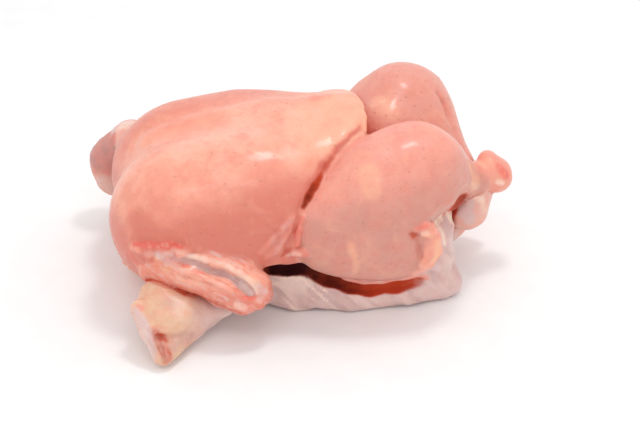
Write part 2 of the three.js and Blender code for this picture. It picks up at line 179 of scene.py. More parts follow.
# Skin folds that stand up: name and blend width, then the stations.
ROLLS = [("neck_rim", 3, ring(*NECK_RIM, 2.1))] + rows("""
neck_rim 4: -106 -33 16 0.8, -114 -24 21 2, -119.5 -15 28 1.8, -121 -4 35.5 1.6
neck_rim 4: -103 34 13 0.8, -113 25 17 2, -119 15 20 2, -121 6 15.5 1.4
vent_rim 3: 98 -27 42 1.4, 99.5 -19 33.5 2, 102.5 -6 30 2.2, 105 8 29.5 2.3, 104 22 32 2.1, 99 33 42 1.4
far_ridge 5: -123 83 56 2, -108 83.5 44 3.2, -84 82 38.5 3.6, -60 78.5 35 3
far_ridge 5: -118 88 33 2, -92 89 24 2.8, -64 84 20 2.6
keel 9: -98 6 97 3, -70 8 106.5 3, -30 9 113.5 3, 10 11 117.5 3, 34 11 118 3
web 4: -8 -70 81.5 1, -15.5 -75.2 74.5 1.5, -22 -77.2 68.5 1.6, -30 -77.5 60.5 0.6
web 4: -10 -73 75 0.8, -15.5 -76 67.5 1.3, -20 -76.5 61 1.4, -27 -76 54.5 0.6
sinew 3: -3.5 -70.5 79 1, -6.2 -72 71 1.6, -6.8 -73 62 1.6
knob 1.5: -10 -72.5 56.2 2.8, -4.5 -72 55.2 3.2
knob 1.5: -4.5 -72 55.2 2.8, 1.5 -72.5 53 1.8
curl 1.5: 66.5 -77.5 71.5 1.8, 73 -77 73 2.4, 78 -74 71.5 2.6
curl 1.5: 71.5 -76.5 68.5 3.2, 77 -75 67.5 4
curl 2: 78 -71 66 5, 78.5 -70 60 6.4, 79 -68 51 7, 75.5 -68.5 43 5.6, 68 -70 37 4
curl 2.5: 74.5 -74.5 60 3, 76 -74.5 53 3.8, 73 -74.5 45 3.2
flap 2: 91 -24 60 1.4, 87.5 -34 56.5 1.6, 90 -38.5 51 1.8, 92.5 -43.5 44 1.8, 94.5 -46.5 34 1.2
flap 2: 93 -22 58 1.2, 97.5 -23 51 1.6, 98.5 -29 44 1.6, 99 -34 34 1.2
wing_rim 2.5: -43 -81 50 2, -33.5 -85 42.5 2.6, -28.5 -87.5 34 2.8, -32 -91 30 2.4, -41 -93.5 28.5 2.2,
    -51 -93.5 32 2
wing_ridge 1.5: -81 -74.6 61 1.2, -64.5 -78.6 57 1.3, -54 -80.6 54.3 1.4, -43.5 -84.2 50 1.5, -36.5 -86.5 44 1.5,
    -33.5 -88.5 38 1.4
wing_ridge 1.5: -90 -74.5 52 1, -76 -81.5 50.5 1.5, -61 -87.2 46 1.6, -49 -92.3 41 1.3
lip 4: 39.5 -20 113 1.8, 40.5 -8 116.5 2.2, 39.5 4 118 2.4, 36 15 118.5 2
rim 4: -107.5 -90 31 4, -102 -101 19 4, -95.5 -110.5 8 3.6
""")
# Creases that are drawn in, in the same form.
CREASES = rows("""
branch 2.5: -5.5 -70.5 80 0.9, -8.8 -73.3 74 0.9, -11.3 -74.5 66 1, -13.3 -74.8 58 1.4, -17.5 -75.5 53 1.1
flank 4: -3.5 -67.5 84 0.8, -9 -72 83.5 1, -15.3 -75.4 79 1.1, -22.5 -77.4 72.3 1, -31 -78.6 64 0.5
flank 3: -9.5 -73.8 78 0.5, -17 -77.8 70.8 0.7, -26 -78.8 60.5 0.5
pit 2: 65 -79.5 68.5 1.4, 67 -79 67.5 1.8
curl_edge 2: 68 -78.5 65 0.8, 70.3 -77.5 59 1, 70.8 -76.8 51 0.9, 68 -76.5 44 0.5
streak 5: 96 30 113 0.5, 99 27.5 107 0.7, 102 21.5 100 0.8, 105.5 15.5 91.5 0.7, 109.5 9 83 0.5
wing_cut 3: -101 -103.5 23.5 0.7, -96.5 -106 18.5 1.2, -94.2 -110.3 13.5 1, -92 -115.5 8 1.1
wing_fold 3: -96 -103.3 18.3 1.1, -88 -103.2 16.8 1.2, -79 -100.8 16 1, -72 -94 20 0.8
wing_dish 3: -43 -87.5 42 1.6, -38 -89 37.8 2.6
wing_line 1.5: -84 -80.5 49 0.8, -71.3 -86.5 47.2 1, -62 -89.4 44.8 1, -54 -93 41.5 0.9
rump 7: 105.5 -29 30 9, 107 -24 13 8.5
rump 7: 101 40 34 9, 105 34 14 8
rump 6: 108 -12 0 8, 108 22 0 8
rump_fold 5: 113 3 15 0.8, 109 -9 20 1.6, 106 -19 27 1.4, 102 -27 34 0.6
rump_fold 5: 112 32 15 0.8, 106 38 22 1.6, 100 42 30 1.2
neck_crease 4: -119 -14 18 0.9, -108 -27 11 1.4, -94 -37 8 0.9
neck_crease 4: -119 13 31 0.9, -113 28 30 1.4, -103 39 27 0.9
neck_crease 4: -118 12 14 0.9, -108 26 8 1.4, -95 34 5 0.9
neck_crease 4: -116 -5 41 1, -118 -14 45 1.2, -120 -26 46 0.6
far_groove 4: -120 91 44 1, -106 92 35 2.2, -88 92 31 2.6, -68 87.5 28.5 2.2, -54 84 28 1.4
far_groove 4: -128 74 64 0.6, -118 87.5 60.5 1, -108 88 57 0.3
""")
# Marks painted on the skin, its own colours and also painted shade and highlights: mask, strength and softness, then
# the stations.
# a painted highlight on the crest of the tip
# a painted highlight on the hock above
# a painted highlight on the wet knob
# fat and bruises on the legs and over the breast; the near thigh's upper fat is partly a painted highlight, and the far
# leg's and the breast's pale dabs are painted highlights
# painted light on the lower back under the flap, where it lies in shade
# painted shade along the fold under the tip's dome
# painted shade along the line between the bones and the tip
# painted shade in the gap between the drumstick and the hock below it
# the curl of skin at the knee: red flesh and painted shade in its pit, painted shade along its edge, a red ridge, a
# painted highlight and cream on its top, and cream on its far lobe
# the deep seam between breast and thigh: painted red shade in it, fading as it climbs
# the hock below: pale skin over its face and cream round it, painted lighter as light where the hock above shades it,
# with painted highlights
# the wing tip: a lilac bruise, yellower skin round it, a painted highlight, a sore spot, raw flesh at its torn edge,
# and painted shade along the fold under its dome
MARKS = rows("""
# the near wing: a grey groove between its bones under a waxy ridge, and blood in its creases
veil 0.7 2.6: -86 -74 58 1, -78 -76 56.3 1.5, -69 -78.5 53.5 1.8, -58.5 -81 49.5 2
veil 0.7 2.6: -58.5 -81 49.5 2, -52 -83 47 1.6
veil 0.45 2.6: -52 -83 47 1.6, -46.5 -84.5 44.5 2, -39.5 -86 40.5 2.6
pale 0.95 3: -49 -84 45.5 1, -44 -85 43.5 2, -37.5 -87 38.9 3
wax 0.34 3: -43 -85.5 42.5 1, -37 -87 38.9 2
fat 0.6 4: -38 -86.8 47 1, -33.6 -88.3 44 1.2
pale 0.5 4: -33.6 -88.3 44 1, -30 -89.4 38.5 1.4, -31.5 -90.9 34.5 1
pale 0.7 5: -93 -73 58 1.4, -89.4 -74.5 56.6 2.2, -86 -75.5 56.5 1
wax 0.6 2.2: -81 -74.6 61 0.8, -64.5 -78.6 57 1, -54 -80.6 54.3 1
wax 0.6 2.2: -54 -80.6 54.3 1, -43.5 -84.2 50 1.2, -36.5 -86.5 44 1.2, -33.5 -88.5 38 1
wax 0.42 3.2: -46.5 -95.5 33 1, -42 -95.5 31 1
red 0.7 1.6: -82 -77.5 54.3 0.6, -76 -79 53.5 0.6
red 0.5 1.8: -73 -82 51.6 0.7, -67 -83.5 50.2 0.6
red 0.75 1.8: -41 -92.5 36.5 0.8, -35 -91.5 35.4 1
fat 0.7 3.5: -95 -73.5 53.5 2, -88 -76 51 1.6
# the loose skin at the wing's root: a red line along the breast, and white beads below it
red 0.8 2.6: -108 -63.5 62 1, -98.3 -70 65 1.4, -87 -74.5 66.5 1.4, -80 -76 66 0.6
inner 0.3 8: -104 -66 67 0.5, -94.8 -71 68 1, -85.5 -74 68.5 1, -77 -76 68 0.5
flush 0.44 16: -14 13 120 5, 12 11 121 5
flush 0.8 14: -105 -62 76 3, -98 -66 73 3
flush 1 8: -104 -65 70 3, -85.5 -73.4 71 3, -61 -77 68 3, -40 -79 62 3
wax 0.34 3.2: -100.5 -69.5 57 1.6, -98.5 -70 58.5 1.2
wax 0.32 3: -94 -72.5 56.5 1.4, -92.5 -73 57.5 1
wax 0.3 3: -88.5 -74 60 1.2, -86 -74.5 60 1
wax 0.28 3: -101 -67.5 50 1.2, -98 -70 49 1.2
wax 0.36 3: -84 -75.5 63 1, -78 -77 61.5 1
# the wing tip: a lilac bruise, yellower skin round it, a sore spot, and raw flesh at its torn edge
veil 0.4 7: -89 -87.5 34 2, -84 -89 31.5 2
wax 0.42 9: -80.5 -87 32.5 0.6, -83.5 -92 28 0.6
red 0.45 2.2: -107 -92.8 34 1, -105.5 -94 32.5 1
veil 0.5 5: -97 -103.5 21 0.6, -94 -106.5 15.5 1.5, -91.5 -112 10.5 2
red 0.3 4: -97.5 -102.5 23 0.6, -95 -104 17 2, -92.7 -108 14 1, -91.5 -112 9.5 2.4
inner 0.6 3: -96.5 -103.6 20.5 0.6, -94.2 -103.5 16.8 1.2, -91.4 -105 16 1
inner 0.42 4.4: -97.5 -104.5 21.5 1, -94.5 -108 14.5 2, -91.5 -112.6 12 2.2, -91 -115.5 7 1.6
inner 0.62 2: -90.5 -111.5 12.5 0.6, -89 -112.5 10.5 0.6
veil 0.5 7: -87.3 -107.2 13 1, -83.5 -102 14.5 1, -76 -98 13.5 1
inner 0.26 3: -94.5 -103.6 16.4 0.8, -87.1 -101.7 15.7 0.6, -81 -99.6 14.6 0.6, -74.7 -96.6 14.5 0.5
cool 0.5 7: -88 -106 12 3, -76 -99 12 3, -64 -86 13 3
pale 0.85 4: -109 -94 31.5 1, -105.5 -100 26.5 1.8, -102 -106 19 1.8, -98 -112 9 1
veil 0.3 4: -109 -96 30.5 1, -105.5 -100 26.5 1.4, -102 -106 19 1
veil 0.5 3: -101.5 -104 22.5 0.8, -99.5 -108 17.5 1, -97 -111.5 12 1
inner 0.2 8: -86 -103 16 0.6, -79 -101 12.6 2, -73 -96 12 1
# the line between the bones and the tip
inner 0.45 1.8: -102.8 -70.4 40.9 0.5, -96.5 -75.9 40.3 0.8, -90.3 -78.5 38.7 1.2, -84.2 -78.3 36.7 1.2
inner 0.6 1.8: -84.2 -78.3 36.7 1.2, -77.9 -82.2 35.6 1, -71.8 -84.8 34.8 1, -65.6 -88.5 34.2 1
inner 0.55 1.8: -65.6 -88.5 34.2 1, -59.5 -92.8 33.8 0.8, -55.3 -94.2 31.6 0.8, -50.4 -95.8 29 0.7, -44 -96 26.5 0.5
# the curl of skin at the knee
inner 0.66 4: 64 -78 70 0.4, 66.3 -77 67.6 1.2
inner 0.36 3.5: 67.5 -77 65 0.6, 69.5 -76.5 58 0.8, 70 -76 50 0.5
red 0.45 2: 67 -79 72.5 0.6, 73 -79.6 74.8 0.8, 76 -77 74.5 0.6
wax 0.4 2.4: 71.5 -79.5 69.5 0.6, 74.5 -79 69 0.8
fat 0.6 3: 73 -79 68.5 1, 76 -78 66.5 1
fat 0.8 4: 81.5 -75.7 60 0.8, 82 -75 53 1, 79.5 -75 45 0.6
# the deep seam between breast and thigh, fading as it climbs
inner 0.9 3: -2.4 -65.6 84 0.3, 1.2 -61.8 89.6 1.2, 5.4 -56.9 93.8 1.2, 9.6 -52.4 98.3 0.6
dark 0.54 3: -2 -65.3 85 0.4, 1 -62 89 1.2
dark 0.42 3.4: 1 -62 89 1.2, 5 -57.4 93.4 1
dark 0.28 4: 5 -57.4 93.4 0.8, 10 -51.7 98.8 0.3
inner 0.4 3: -5.5 -68.5 79 0.4, -2.4 -65.6 84 0.6
inner 0.66 3: 9.6 -52.4 98.3 0.6, 13.9 -46.3 102.7 0.6, 17 -43.4 105 0.4
inner 0.55 3: 17 -43.4 105 0.5, 22 -39 108.6 0.5
inner 0.36 3: 22 -39 108.6 0.6, 27 -34.7 111.7 0.4, 31 -30.9 113.5 0.1
inner 0.3 2.2: 42 -17 114 0.4, 43 -14 111 0.4
# the web of skin between breast and thigh
inner 0.55 1.4: -11.5 -73 59 0.4, -13.6 -73 57.3 0.8, -16.5 -73.5 54 0.6
wax 0.42 2.6: -12.4 -73.5 54 0.6, -9 -75.5 56 0.8, -5.5 -75.5 55.5 0.8
red 0.45 1.8: -1.2 -74.5 58 0.5, -0.8 -74.5 54.5 0.5, -4 -74.5 51.5 0.5
red 0.35 2: -16 -74 51.5 0.8, -8 -74.5 50.5 0.8, 2 -75 49.5 0.6
# the flap over the vent
wax 0.85 1.8: 93 -30 59 1.6, 90.6 -36 55 1.2, 86 -40.7 54 1, 89.5 -45 48 1, 91.1 -48.5 42 0.5
wax 0.8 1.8: 96.3 -26.5 51.5 1.6, 99 -28 47.5 1, 100.5 -29 42 0.4
veil 0.35 2: 93.5 -34 51 0.6, 95.5 -36.5 47 0.8, 97 -39 40 0.5
wax 0.3 12: 92 -48 28 3, 93 -49 14 3
veil 0.5 7: -12 -57.5 17 2, 6 -60 15 2
# the hocks
cream 0.45 4: 106.5 -38.5 93 1, 109.6 -37 82.4 1.6, 112.2 -29 71.8 1.2
fat 0.55 9: 108.5 -37 92 1, 112 -34 82 1.6, 115 -25 72 1.2
fat 0.5 4: 122 -8 80 2, 126 -8 79 2
red 0.6 4: 133.5 -10 77 1.6, 138 -11 71 1.6
wax 0.6 3: 131.5 -14 67.5 0.6, 135 -13.5 66.3 0.6
pale 0.8 5: 112 -20 56 2.4, 108.5 -21.5 50 3, 112 -23 45 3
veil 0.35 3: 105.5 -20.5 52 0.8, 108.5 -19.5 55 0.8
wax 0.3 4: 119.5 -17 57 1.5, 121.5 -17 50 1.5
fat 0.75 4: 114.5 -17.5 57.5 2, 120 -17 55.5 2.6, 122 -18.5 49 2
wax 0.5 3: 116.5 -17 58 1, 120.5 -16.8 56 1.4
fat 0.55 4: 120 -21 43.5 1.5, 113 -23 39.5 1.5, 106 -22 38 1.5
red 0.3 2.5: 123.5 -14.5 56 0.6, 123.5 -17.5 51 0.6
# the dark gap between the drumstick and the hock below it
inner 0.8 3.5: 94 -49 68.8 1, 98 -44 68.4 3, 101.5 -38.5 67.6 4, 104.8 -33.8 67.2 3.2
inner 0.6 3.5: 104.8 -33.8 67.2 3, 107.5 -29 65 1.6, 109.5 -24.5 62.7 0.6
inner 0.8 3: 100.5 -20 44 0.6, 101 -19.5 50 1.4, 103.5 -18 56 1.6, 107 -18 61 1.4
dark 0.44 4: 96.5 -46 68.6 1, 101.2 -39.2 67.6 3, 104.5 -34.5 67.2 2.4, 107 -30 65.5 0.4
dark 0.3 4: 101.5 -19 47 0.6, 103 -18.5 54 1.6, 107 -19 61 1.6
# fat and bruises on the legs and over the breast
fat 0.55 4: 26 -82 64 1.5, 30 -82 48 1.5, 28 -79 38 1.5
fat 0.5 7: 38 -67 106 5, 40 -72 97 3
wax 0.2 12: 50 20 114 2, 54.5 19 113 2
fat 0.45 10: 54.5 19 114 2, 59 14 112.5 2, 63 9 109.5 1
wax 0.3 2.4: -31 -46.7 114.3 0.4, -22.6 -48.4 112.7 1, -14 -48.9 111 0.6
# white skin where the far wing leaves the shoulder
wax 0.46 4: -110 71 81 3, -117 66 78 4, -121.5 57 70 2.5
pale 0.7 5: -116 70 80 3, -124 71 75 2
pale 0.6 13: -134 62 38 2, -127 60 36 3
red 0.2 6: 58 -80 84 1, 60 -80 82 1
red 0.16 7: -72 -63 103 1, -66 -62 106 2
red 0.2 5: -66 -66 93 1, -64 -66 91 1
""")


# ---- the field's building blocks
# Keeps a division by a length from failing where the length is nothing.
TINY = 1e-6
CORNERS = [(a, b, c) for a in (0, 1) for b in (0, 1) for c in (0, 1)]


def join(a, b, k):
    """Soft union over a width k."""
    h = np.maximum(k - np.abs(a - b), 0) / k
    return np.minimum(a, b) - h * h * (k * 0.25)


def cut(a, b, k):
    """Soft intersection over a width k."""
    return -join(-a, -b, k)


def carve(a, hole, k):
    """a without the hole, softened over a width k."""
    return -join(-a, hole, k)


def local(p, at, tilt=0.0):
    """p in the frame of a shape at `at`, turned by `tilt` degrees about Y."""
    a = math.radians(tilt)
    x, y, z = (p[i] - at[i] for i in range(3))
    return x * math.cos(a) - z * math.sin(a), y, x * math.sin(a) + z * math.cos(a)


def ellipsoid(p, at, radii, tilt=0.0):
    q = local(p, at, tilt)
    level = np.sqrt(sum((c / r) ** 2 for c, r in zip(q, radii)))
    steep = np.sqrt(sum((c / r**2) ** 2 for c, r in zip(q, radii)))
    return level * (level - 1) / (steep + TINY)


def super_ellipsoid(p, at, radii, power, tilt):
    total = sum(np.abs(c / r) ** power for c, r in zip(local(p, at, tilt), radii))
    return (total ** (1 / power) - 1) * min(radii)


def capsule(p, a, b, flat=None):
    """A tapered capsule between two stations, thinner by a factor along one direction where flat says so."""
    ab = [b[i] - a[i] for i in range(3)]
    q = [p[i] - a[i] for i in range(3)]
    length = sum(c * c for c in ab)
    t = np.clip((q[0] * ab[0] + q[1] * ab[1] + q[2] * ab[2]) / length, 0, 1)
    w = [q[i] - t * ab[i] for i in range(3)]
    if flat:
        size = math.sqrt(sum(c * c for c in flat[0]))
        d = [c / size for c in flat[0]]
        extra = (w[0] * d[0] + w[1] * d[1] + w[2] * d[2]) * (1 / flat[1] - 1)
        w = [w[i] + extra * d[i] for i in range(3)]
    return np.sqrt(w[0] ** 2 + w[1] ** 2 + w[2] ** 2) - (a[3] + (b[3] - a[3]) * t)


def limb(p, stations, k, flat=None):
    """Capsules through (x, y, z, radius) stations, blended over a width k."""
    d = None
    for a, b in zip(stations[:-1], stations[1:]):
        piece = capsule(p, a, b, flat)
        d = piece if d is None else join(d, piece, k)
    return d


def plate(p, corners, thick):
    """A rounded triangular plate."""
    corners = [np.array(c, np.float32) for c in corners]
    q = np.stack([np.asarray(c, np.float32) for c in np.broadcast_arrays(*p)], -1)
    edges = [corners[(i + 1) % 3] - corners[i] for i in range(3)]
    across = np.cross(edges[0], edges[1])
    across /= np.linalg.norm(across)
    inside = np.ones(q.shape[:-1], bool)
    rim = np.full(q.shape[:-1], np.inf, np.float32)
    for corner, edge in zip(corners, edges):
        v = q - corner
        inside &= v @ np.cross(across, edge) > 0
        t = np.clip(v @ edge / (edge @ edge), 0, 1)[..., None]
        rim = np.minimum(rim, ((v - t * edge) ** 2).sum(-1))
    return np.where(inside, np.abs((q - corners[0]) @ across), np.sqrt(rim)) - thick


def curve(xs, ys, x):
    """Monotone cubic through (xs, ys)."""
    xs, ys = np.array(xs, float), np.array(ys, float)
    run = np.diff(xs)
    rise = np.diff(ys) / run
    slope = np.zeros(len(xs))
    for i in range(1, len(xs) - 1):
        if rise[i - 1] * rise[i] > 0:
            w1, w2 = 2 * run[i] + run[i - 1], run[i] + 2 * run[i - 1]
            slope[i] = (w1 + w2) / (w1 / rise[i - 1] + w2 / rise[i])
    for i, j in ((0, 1), (-1, -2)):
        slope[i] = ((2 * run[i] + run[j]) * rise[i] - run[i] * rise[j]) / (run[i] + run[j])
    x = np.clip(x, xs[0], xs[-1])
    i = np.clip(np.searchsorted(xs, x, side="right") - 1, 0, len(run) - 1)
    t = ((x - xs[i]) / run[i]).astype(np.float32)
    u = 1 - t
    steps = slope[i] * run[i] * t * u * u - slope[i + 1] * run[i] * t * t * u
    return (ys[i] * (1 + 2 * t) * u * u + ys[i + 1] * t * t * (3 - 2 * t) + steps).astype(np.float32)


LATTICE = np.random.RandomState(11).uniform(-1, 1, (32, 32, 32)).astype(np.float32)


def noise(p, size, shift=0.0):
    """Smooth value noise from -1 to 1 with features of about `size` millimetres."""
    cell, part = [], []
    for i, c in enumerate(p):
        q = c / size + shift + 7.3 * i
        low = np.floor(q)
        f = q - low
        cell.append(low.astype(np.int32))
        part.append(f * f * (3 - 2 * f))
    total = 0
    for corner in CORNERS:
        weight = 1
        for bit, f in zip(corner, part):
            weight = weight * (f if bit else 1 - f)
        total = total + weight * LATTICE[tuple((low + bit) % len(LATTICE) for low, bit in zip(cell, corner))]
    return total


def near(d, width):
    """1 at and inside a distance of 0, falling softly to 0 at width."""
    t = np.clip(1 - d / width, 0, 1)
    return t * t * (3 - 2 * t)


# ---- the bird
def trunk(p):
    width, height = (curve(TRUNK["x"], TRUNK[key], p[0]) for key in ("width", "height"))
    middle = height * TRUNK["middle"]
    above = p[2] > middle
    half = np.where(above, height - middle, middle + TRUNK["sag"])
    # the far side is rounder underneath than the near one
    below = np.where(p[1] < 0, *TRUNK["round_below"])
    power = np.where(above, TRUNK["round_above"], below)
    total = np.abs(p[1] / width) ** power + np.abs((p[2] - middle) / half) ** power
    # towards the far side the rear end falls back
    rear = TRUNK["ends"][1] - TRUNK["far_sweep"] * np.maximum(p[1] - 10, 0) ** 2
    ends = np.maximum(TRUNK["ends"][0] - p[0], p[0] - rear)
    return cut((total ** (1 / power) - 1) * np.minimum(width, half), ends, TRUNK["end_round"])


def breast(p):
    near_lobe, far_lobe = (limb(p, lobe, 20, BREAST_NARROW) for lobe in BREAST_LOBES)
    whole = join(join(near_lobe, far_lobe, 22), limb(p, BREAST_KEEL, 10), 18)
    return cut(whole, p[0] - BREAST_REAR, 9)


def near_hock(p):
    hock = limb(p, SHANK, 6)
    for at, radii in KNUCKLES:
        hock = join(hock, ellipsoid(p, at, radii), 4)
    return hock


def near_leg(p):
    thigh = super_ellipsoid(p, THIGH["near"], THIGH["radii"], THIGH["square"], THIGH["tilt"])
    leg = join(thigh, limb(p, DRUMSTICK["near"], 22), 20)
    return carve(carve(leg, limb(p, KNEE_HOLLOW, 6), 8), limb(p, ANKLE_HOLLOW, 6), 6)


def far_hock(p):
    """The hock that lies underneath, with the flat face of its joint."""
    at, facing = HOCK_FACE
    face = sum((p[i] - at[i]) * facing[i] for i in range(3))
    return cut(limb(p, CROSSED_HOCK, 6), face, 5)


def far_leg(p):
    thigh = super_ellipsoid(p, THIGH["far"], THIGH["radii"], THIGH["square"], THIGH["tilt"])
    leg = join(thigh, limb(p, DRUMSTICK["far"], 22), 14)
    return join(leg, ellipsoid(p, *INNER_THIGH), 8)


def wing_bones(p):
    high, low = (limb(p, stations, 5) for stations in WING_BONES)
    return join(join(high, low, 1.5), limb(p, WING_SKIN, 4), 2.5)


def wing_tip(p):
    return join(limb(p, WING_TIP, 8, WING_TIP_FLAT), plate(p, WING_PLATE, PLATE_THICK), 9)


def far_wing(p):
    wing = join(limb(p, FAR_SHOULDER, 8), limb(p, FAR_FOREARM, 10), 8)
    return join(wing, plate(p, FAR_TIP, PLATE_THICK), 7)


def muscles(p):
    """The distance to each main mass, by name."""
    return {
        "trunk": trunk(p),
        "skirt": np.minimum(*(limb(p, stations, 8) for stations in SKIRT)),
        "neck": ellipsoid(p, *NECK_FOLD),
        "belly": ellipsoid(p, *BELLY),
        "breast": breast(p),
        "near_leg": near_leg(p),
        "near_hock": near_hock(p),
        "far_leg": far_leg(p),
        "far_hock": far_hock(p),
        "tail": limb(p, TAIL, 6, TAIL_FLAT),
        "wing_bones": wing_bones(p),
        "wing_tip": wing_tip(p),
        "far_wing": far_wing(p),
    }


def bird(p, wrinkle=1.0, named=False):
    """The field of the whole skin, and on request the parts it is made of."""
    m = muscles(p)
    body = join(join(m["trunk"], m["neck"], 10), m["belly"], 10)
    body = join(body, m["skirt"], 8)
    m["seam"] = limb(p, SEAM, 4)
    body = carve(join(m["breast"], body, 7), m["seam"], 4)
    leg_a = join(m["near_leg"], m["near_hock"], 4)
    leg_b = join(m["far_leg"], m["far_hock"], 4)
    d = join(body, join(leg_a, leg_b, 2), 1.6)
    mirrored = tuple((x, -y, z, r) for x, y, z, r in FOLD)
    m["fold"] = np.minimum(*(limb(p, stations, 6, FOLD_FLAT) for stations in (mirrored, FOLD)))
    m["neck_hole"] = ellipsoid(p, *NECK_HOLE)
    m["vent"] = limb(p, VENT, 4)
    d = carve(carve(d, m["fold"], 3), np.minimum(m["neck_hole"], m["vent"]), 4)
    d = join(d, m["tail"], 8)
    d = join(d, join(m["wing_bones"], m["wing_tip"], 1.5), 3)
    d = join(d, m["far_wing"], 3)
    for table, blend in ((ROLLS, join), (CREASES, carve)):
        for name, width, stations in table:
            strip = limb(p, stations, 3)
            m[name] = np.minimum(m.get(name, np.inf), strip)
            d = blend(d, strip, width)
    d = d + wrinkle * relief(p, m)
    d = cut(d, -p[2], 2.5)
    return (d, m) if named else d


def drape(p):
    """Long slanting folds of the loose skin along the back."""
    return noise(((p[0] + p[2]) / 7, (p[0] - p[2]) / 36, p[1] / 36), 1, 2.7)


def relief(p, m):
    """Unevenness of the skin: broad soft dents, and crumpled skin where it is loose."""
    loose = near(limb(p, CRUMPLED, 4), 9)
    for name, strength, width in (("web", 0.3, 6), ("far_wing", 0.35, 4), ("neck", 0.3, 5), ("wing_tip", 0.25, 4)):
        loose = np.maximum(loose, strength * near(m[name], width))
    back = near(np.minimum(m["trunk"], m["skirt"]), 4) * near(p[2] - 26, 14) * (1 - near(m["fold"], 6))
    loose = np.maximum(loose, 0.35 * back)
    broad = back * 1.2 * drape(p) + 0.5 * noise(p, 27) + 0.2 * noise(p, 12, 3.1) + 0.09 * noise(p, 7, 1.4)
    return broad + loose * (1.5 * noise(p, 5.5, 5.7) + 0.7 * noise(p, 3.2, 9.2))


# ---- from the field to a mesh
# The grid's step changes along each axis at the given stops: finer over the wings, hocks and folds.
GRID_STOPS = ((-150, -36, 92, 150), (-122, -58, 58, 106), (-8, 48, 134))
GRID_STEPS = ((1.4, 1.85, 1.3), (1.3, 1.85, 1.6), (1.4, 1.8))
# The grid is first sampled in blocks of so many cells, and away from the surface the field is a plain value.
BLOCK = 8
FAR = 50.0
JUST_INSIDE = -0.02


def ticks(stops, steps, scale):
    """Coordinates along one axis, each stretch divided into equal steps."""
    parts = [np.array([stops[0]], float)]
    for low, high, step in zip(stops[:-1], stops[1:], steps):
        parts.append(np.linspace(low, high, round((high - low) / (step * scale)) + 1)[1:])
    return np.concatenate(parts)


def by_slices(function, p, size=300000):
    """Works a field out over long coordinate lists a slice at a time."""
    return np.concatenate([function(tuple(c[i : i + size] for c in p)) for i in range(0, len(p[0]), size)])


def sample(axes, field):
    """The field at the grid's nodes: exact near the surface, a plain far value elsewhere."""
    counts = [len(a) for a in axes]
    starts = [np.arange(0, n - 1, BLOCK) for n in counts]
    ends = [np.minimum(s + BLOCK, n - 1) for s, n in zip(starts, counts)]
    middles = [(a[s] + a[e]) / 2 for a, s, e in zip(axes, starts, ends)]
    halves = [(a[e] - a[s]) / 2 for a, s, e in zip(axes, starts, ends)]
    grid = np.meshgrid(*middles, indexing="ij")
    reach = np.sqrt(sum(h**2 for h in np.meshgrid(*halves, indexing="ij")))
    rough = field(tuple(c.ravel().astype(np.float32) for c in grid)).reshape(reach.shape)
    cells = np.abs(rough) < 1.9 * reach + 3
    sign = np.where(rough < 0, -FAR, FAR).astype(np.float32)
    for axis, n in enumerate(counts):
        sign = np.take(sign, np.minimum(np.arange(n) // BLOCK, sign.shape[axis] - 1), axis=axis)
        cells = np.take(cells, np.minimum(np.arange(n - 1) // BLOCK, cells.shape[axis] - 1), axis=axis)
    wanted = np.zeros(counts, bool)
    for a, b, c in CORNERS:
        part = wanted[a : counts[0] - 1 + a, b : counts[1] - 1 + b, c : counts[2] - 1 + c]
        part |= cells
    where = np.nonzero(wanted)
    p = tuple(a[i].astype(np.float32) for a, i in zip(axes, where))
    sign[where] = by_slices(field, p)
    return sign


def untangle(values):
    """Fills the corners where two sheets of skin would meet in one line, so that every edge has two faces."""
    for _ in range(12):
        inside = values < 0
        found = 0
        for axis in range(3):
            s = np.moveaxis(inside, axis, 0)
            v = np.moveaxis(values, axis, 0)
            a, b, c, d = s[:, :-1, :-1], s[:, 1:, :-1], s[:, :-1, 1:], s[:, 1:, 1:]
            crossed = (a == d) & (b == c) & (a != b)
            found += int(crossed.sum())
            for i, j in ((0, 0), (1, 0), (0, 1), (1, 1)):
                part = v[:, i : i + crossed.shape[1], j : j + crossed.shape[2]]
                part[crossed & (part >= 0)] = JUST_INSIDE
        if not found:
            break
    return values


def surface_net(axes, values):
    """Points and outward quads of the zero level, one point in each cell that the surface crosses."""
    inside = values < 0
    n = [len(a) - 1 for a in axes]
    count = sum(inside[a : n[0] + a, b : n[1] + b, c : n[2] + c].astype(np.int8) for a, b, c in CORNERS)
    cells = np.nonzero((count > 0) & (count < 8))
    total, hits = np.zeros((len(cells[0]), 3)), np.zeros(len(cells[0]))
    for axis in range(3):
        for offset in [c for c in CORNERS if c[axis] == 0]:
            low = [i + o for i, o in zip(cells, offset)]
            high = [i + (k == axis) for k, i in enumerate(low)]
            a, b = values[tuple(low)], values[tuple(high)]
            hit = (a < 0) != (b < 0)
            t = np.where(hit, a / np.where(hit, a - b, 1), 0)
            for k in range(3):
                at = axes[k][low[k]]
                total[:, k] += hit * (at + t * (axes[k][high[k]] - at))
            hits += hit
    points = total / hits[:, None]
    number = np.full(n, -1, np.int64)
    number[cells] = np.arange(len(points))
    quads = []
    for axis in range(3):
        others = [k for k in range(3) if k != axis]
        low = np.take(inside, range(n[axis]), axis=axis)
        high = np.take(inside, range(1, n[axis] + 1), axis=axis)
        at = list(np.nonzero(low != high))
        keep = np.all([(at[k] > 0) & (at[k] < n[k]) for k in others], axis=0)
        at = [i[keep] for i in at]
        corners = []
        for da, db in ((1, 1), (0, 1), (0, 0), (1, 0)):
            where = list(at)
            where[others[0]] = at[others[0]] - da
            where[others[1]] = at[others[1]] - db
            corners.append(number[tuple(where)])
        quad = np.stack(corners, 1)
        turned = low[tuple(at)] if axis != 1 else ~low[tuple(at)]
        quad[~turned] = quad[~turned][:, ::-1]
        quads.append(quad)
    return points, np.concatenate(quads)


def gradient(field, points, e=0.15):
    g = np.empty_like(points)
    for k in range(3):
        step = np.zeros(3)
        step[k] = e
        up, down = (by_slices(field, tuple((points + s * step).T.astype(np.float32))) for s in (1, -1))
        g[:, k] = (up - down) / (2 * e)
    return g


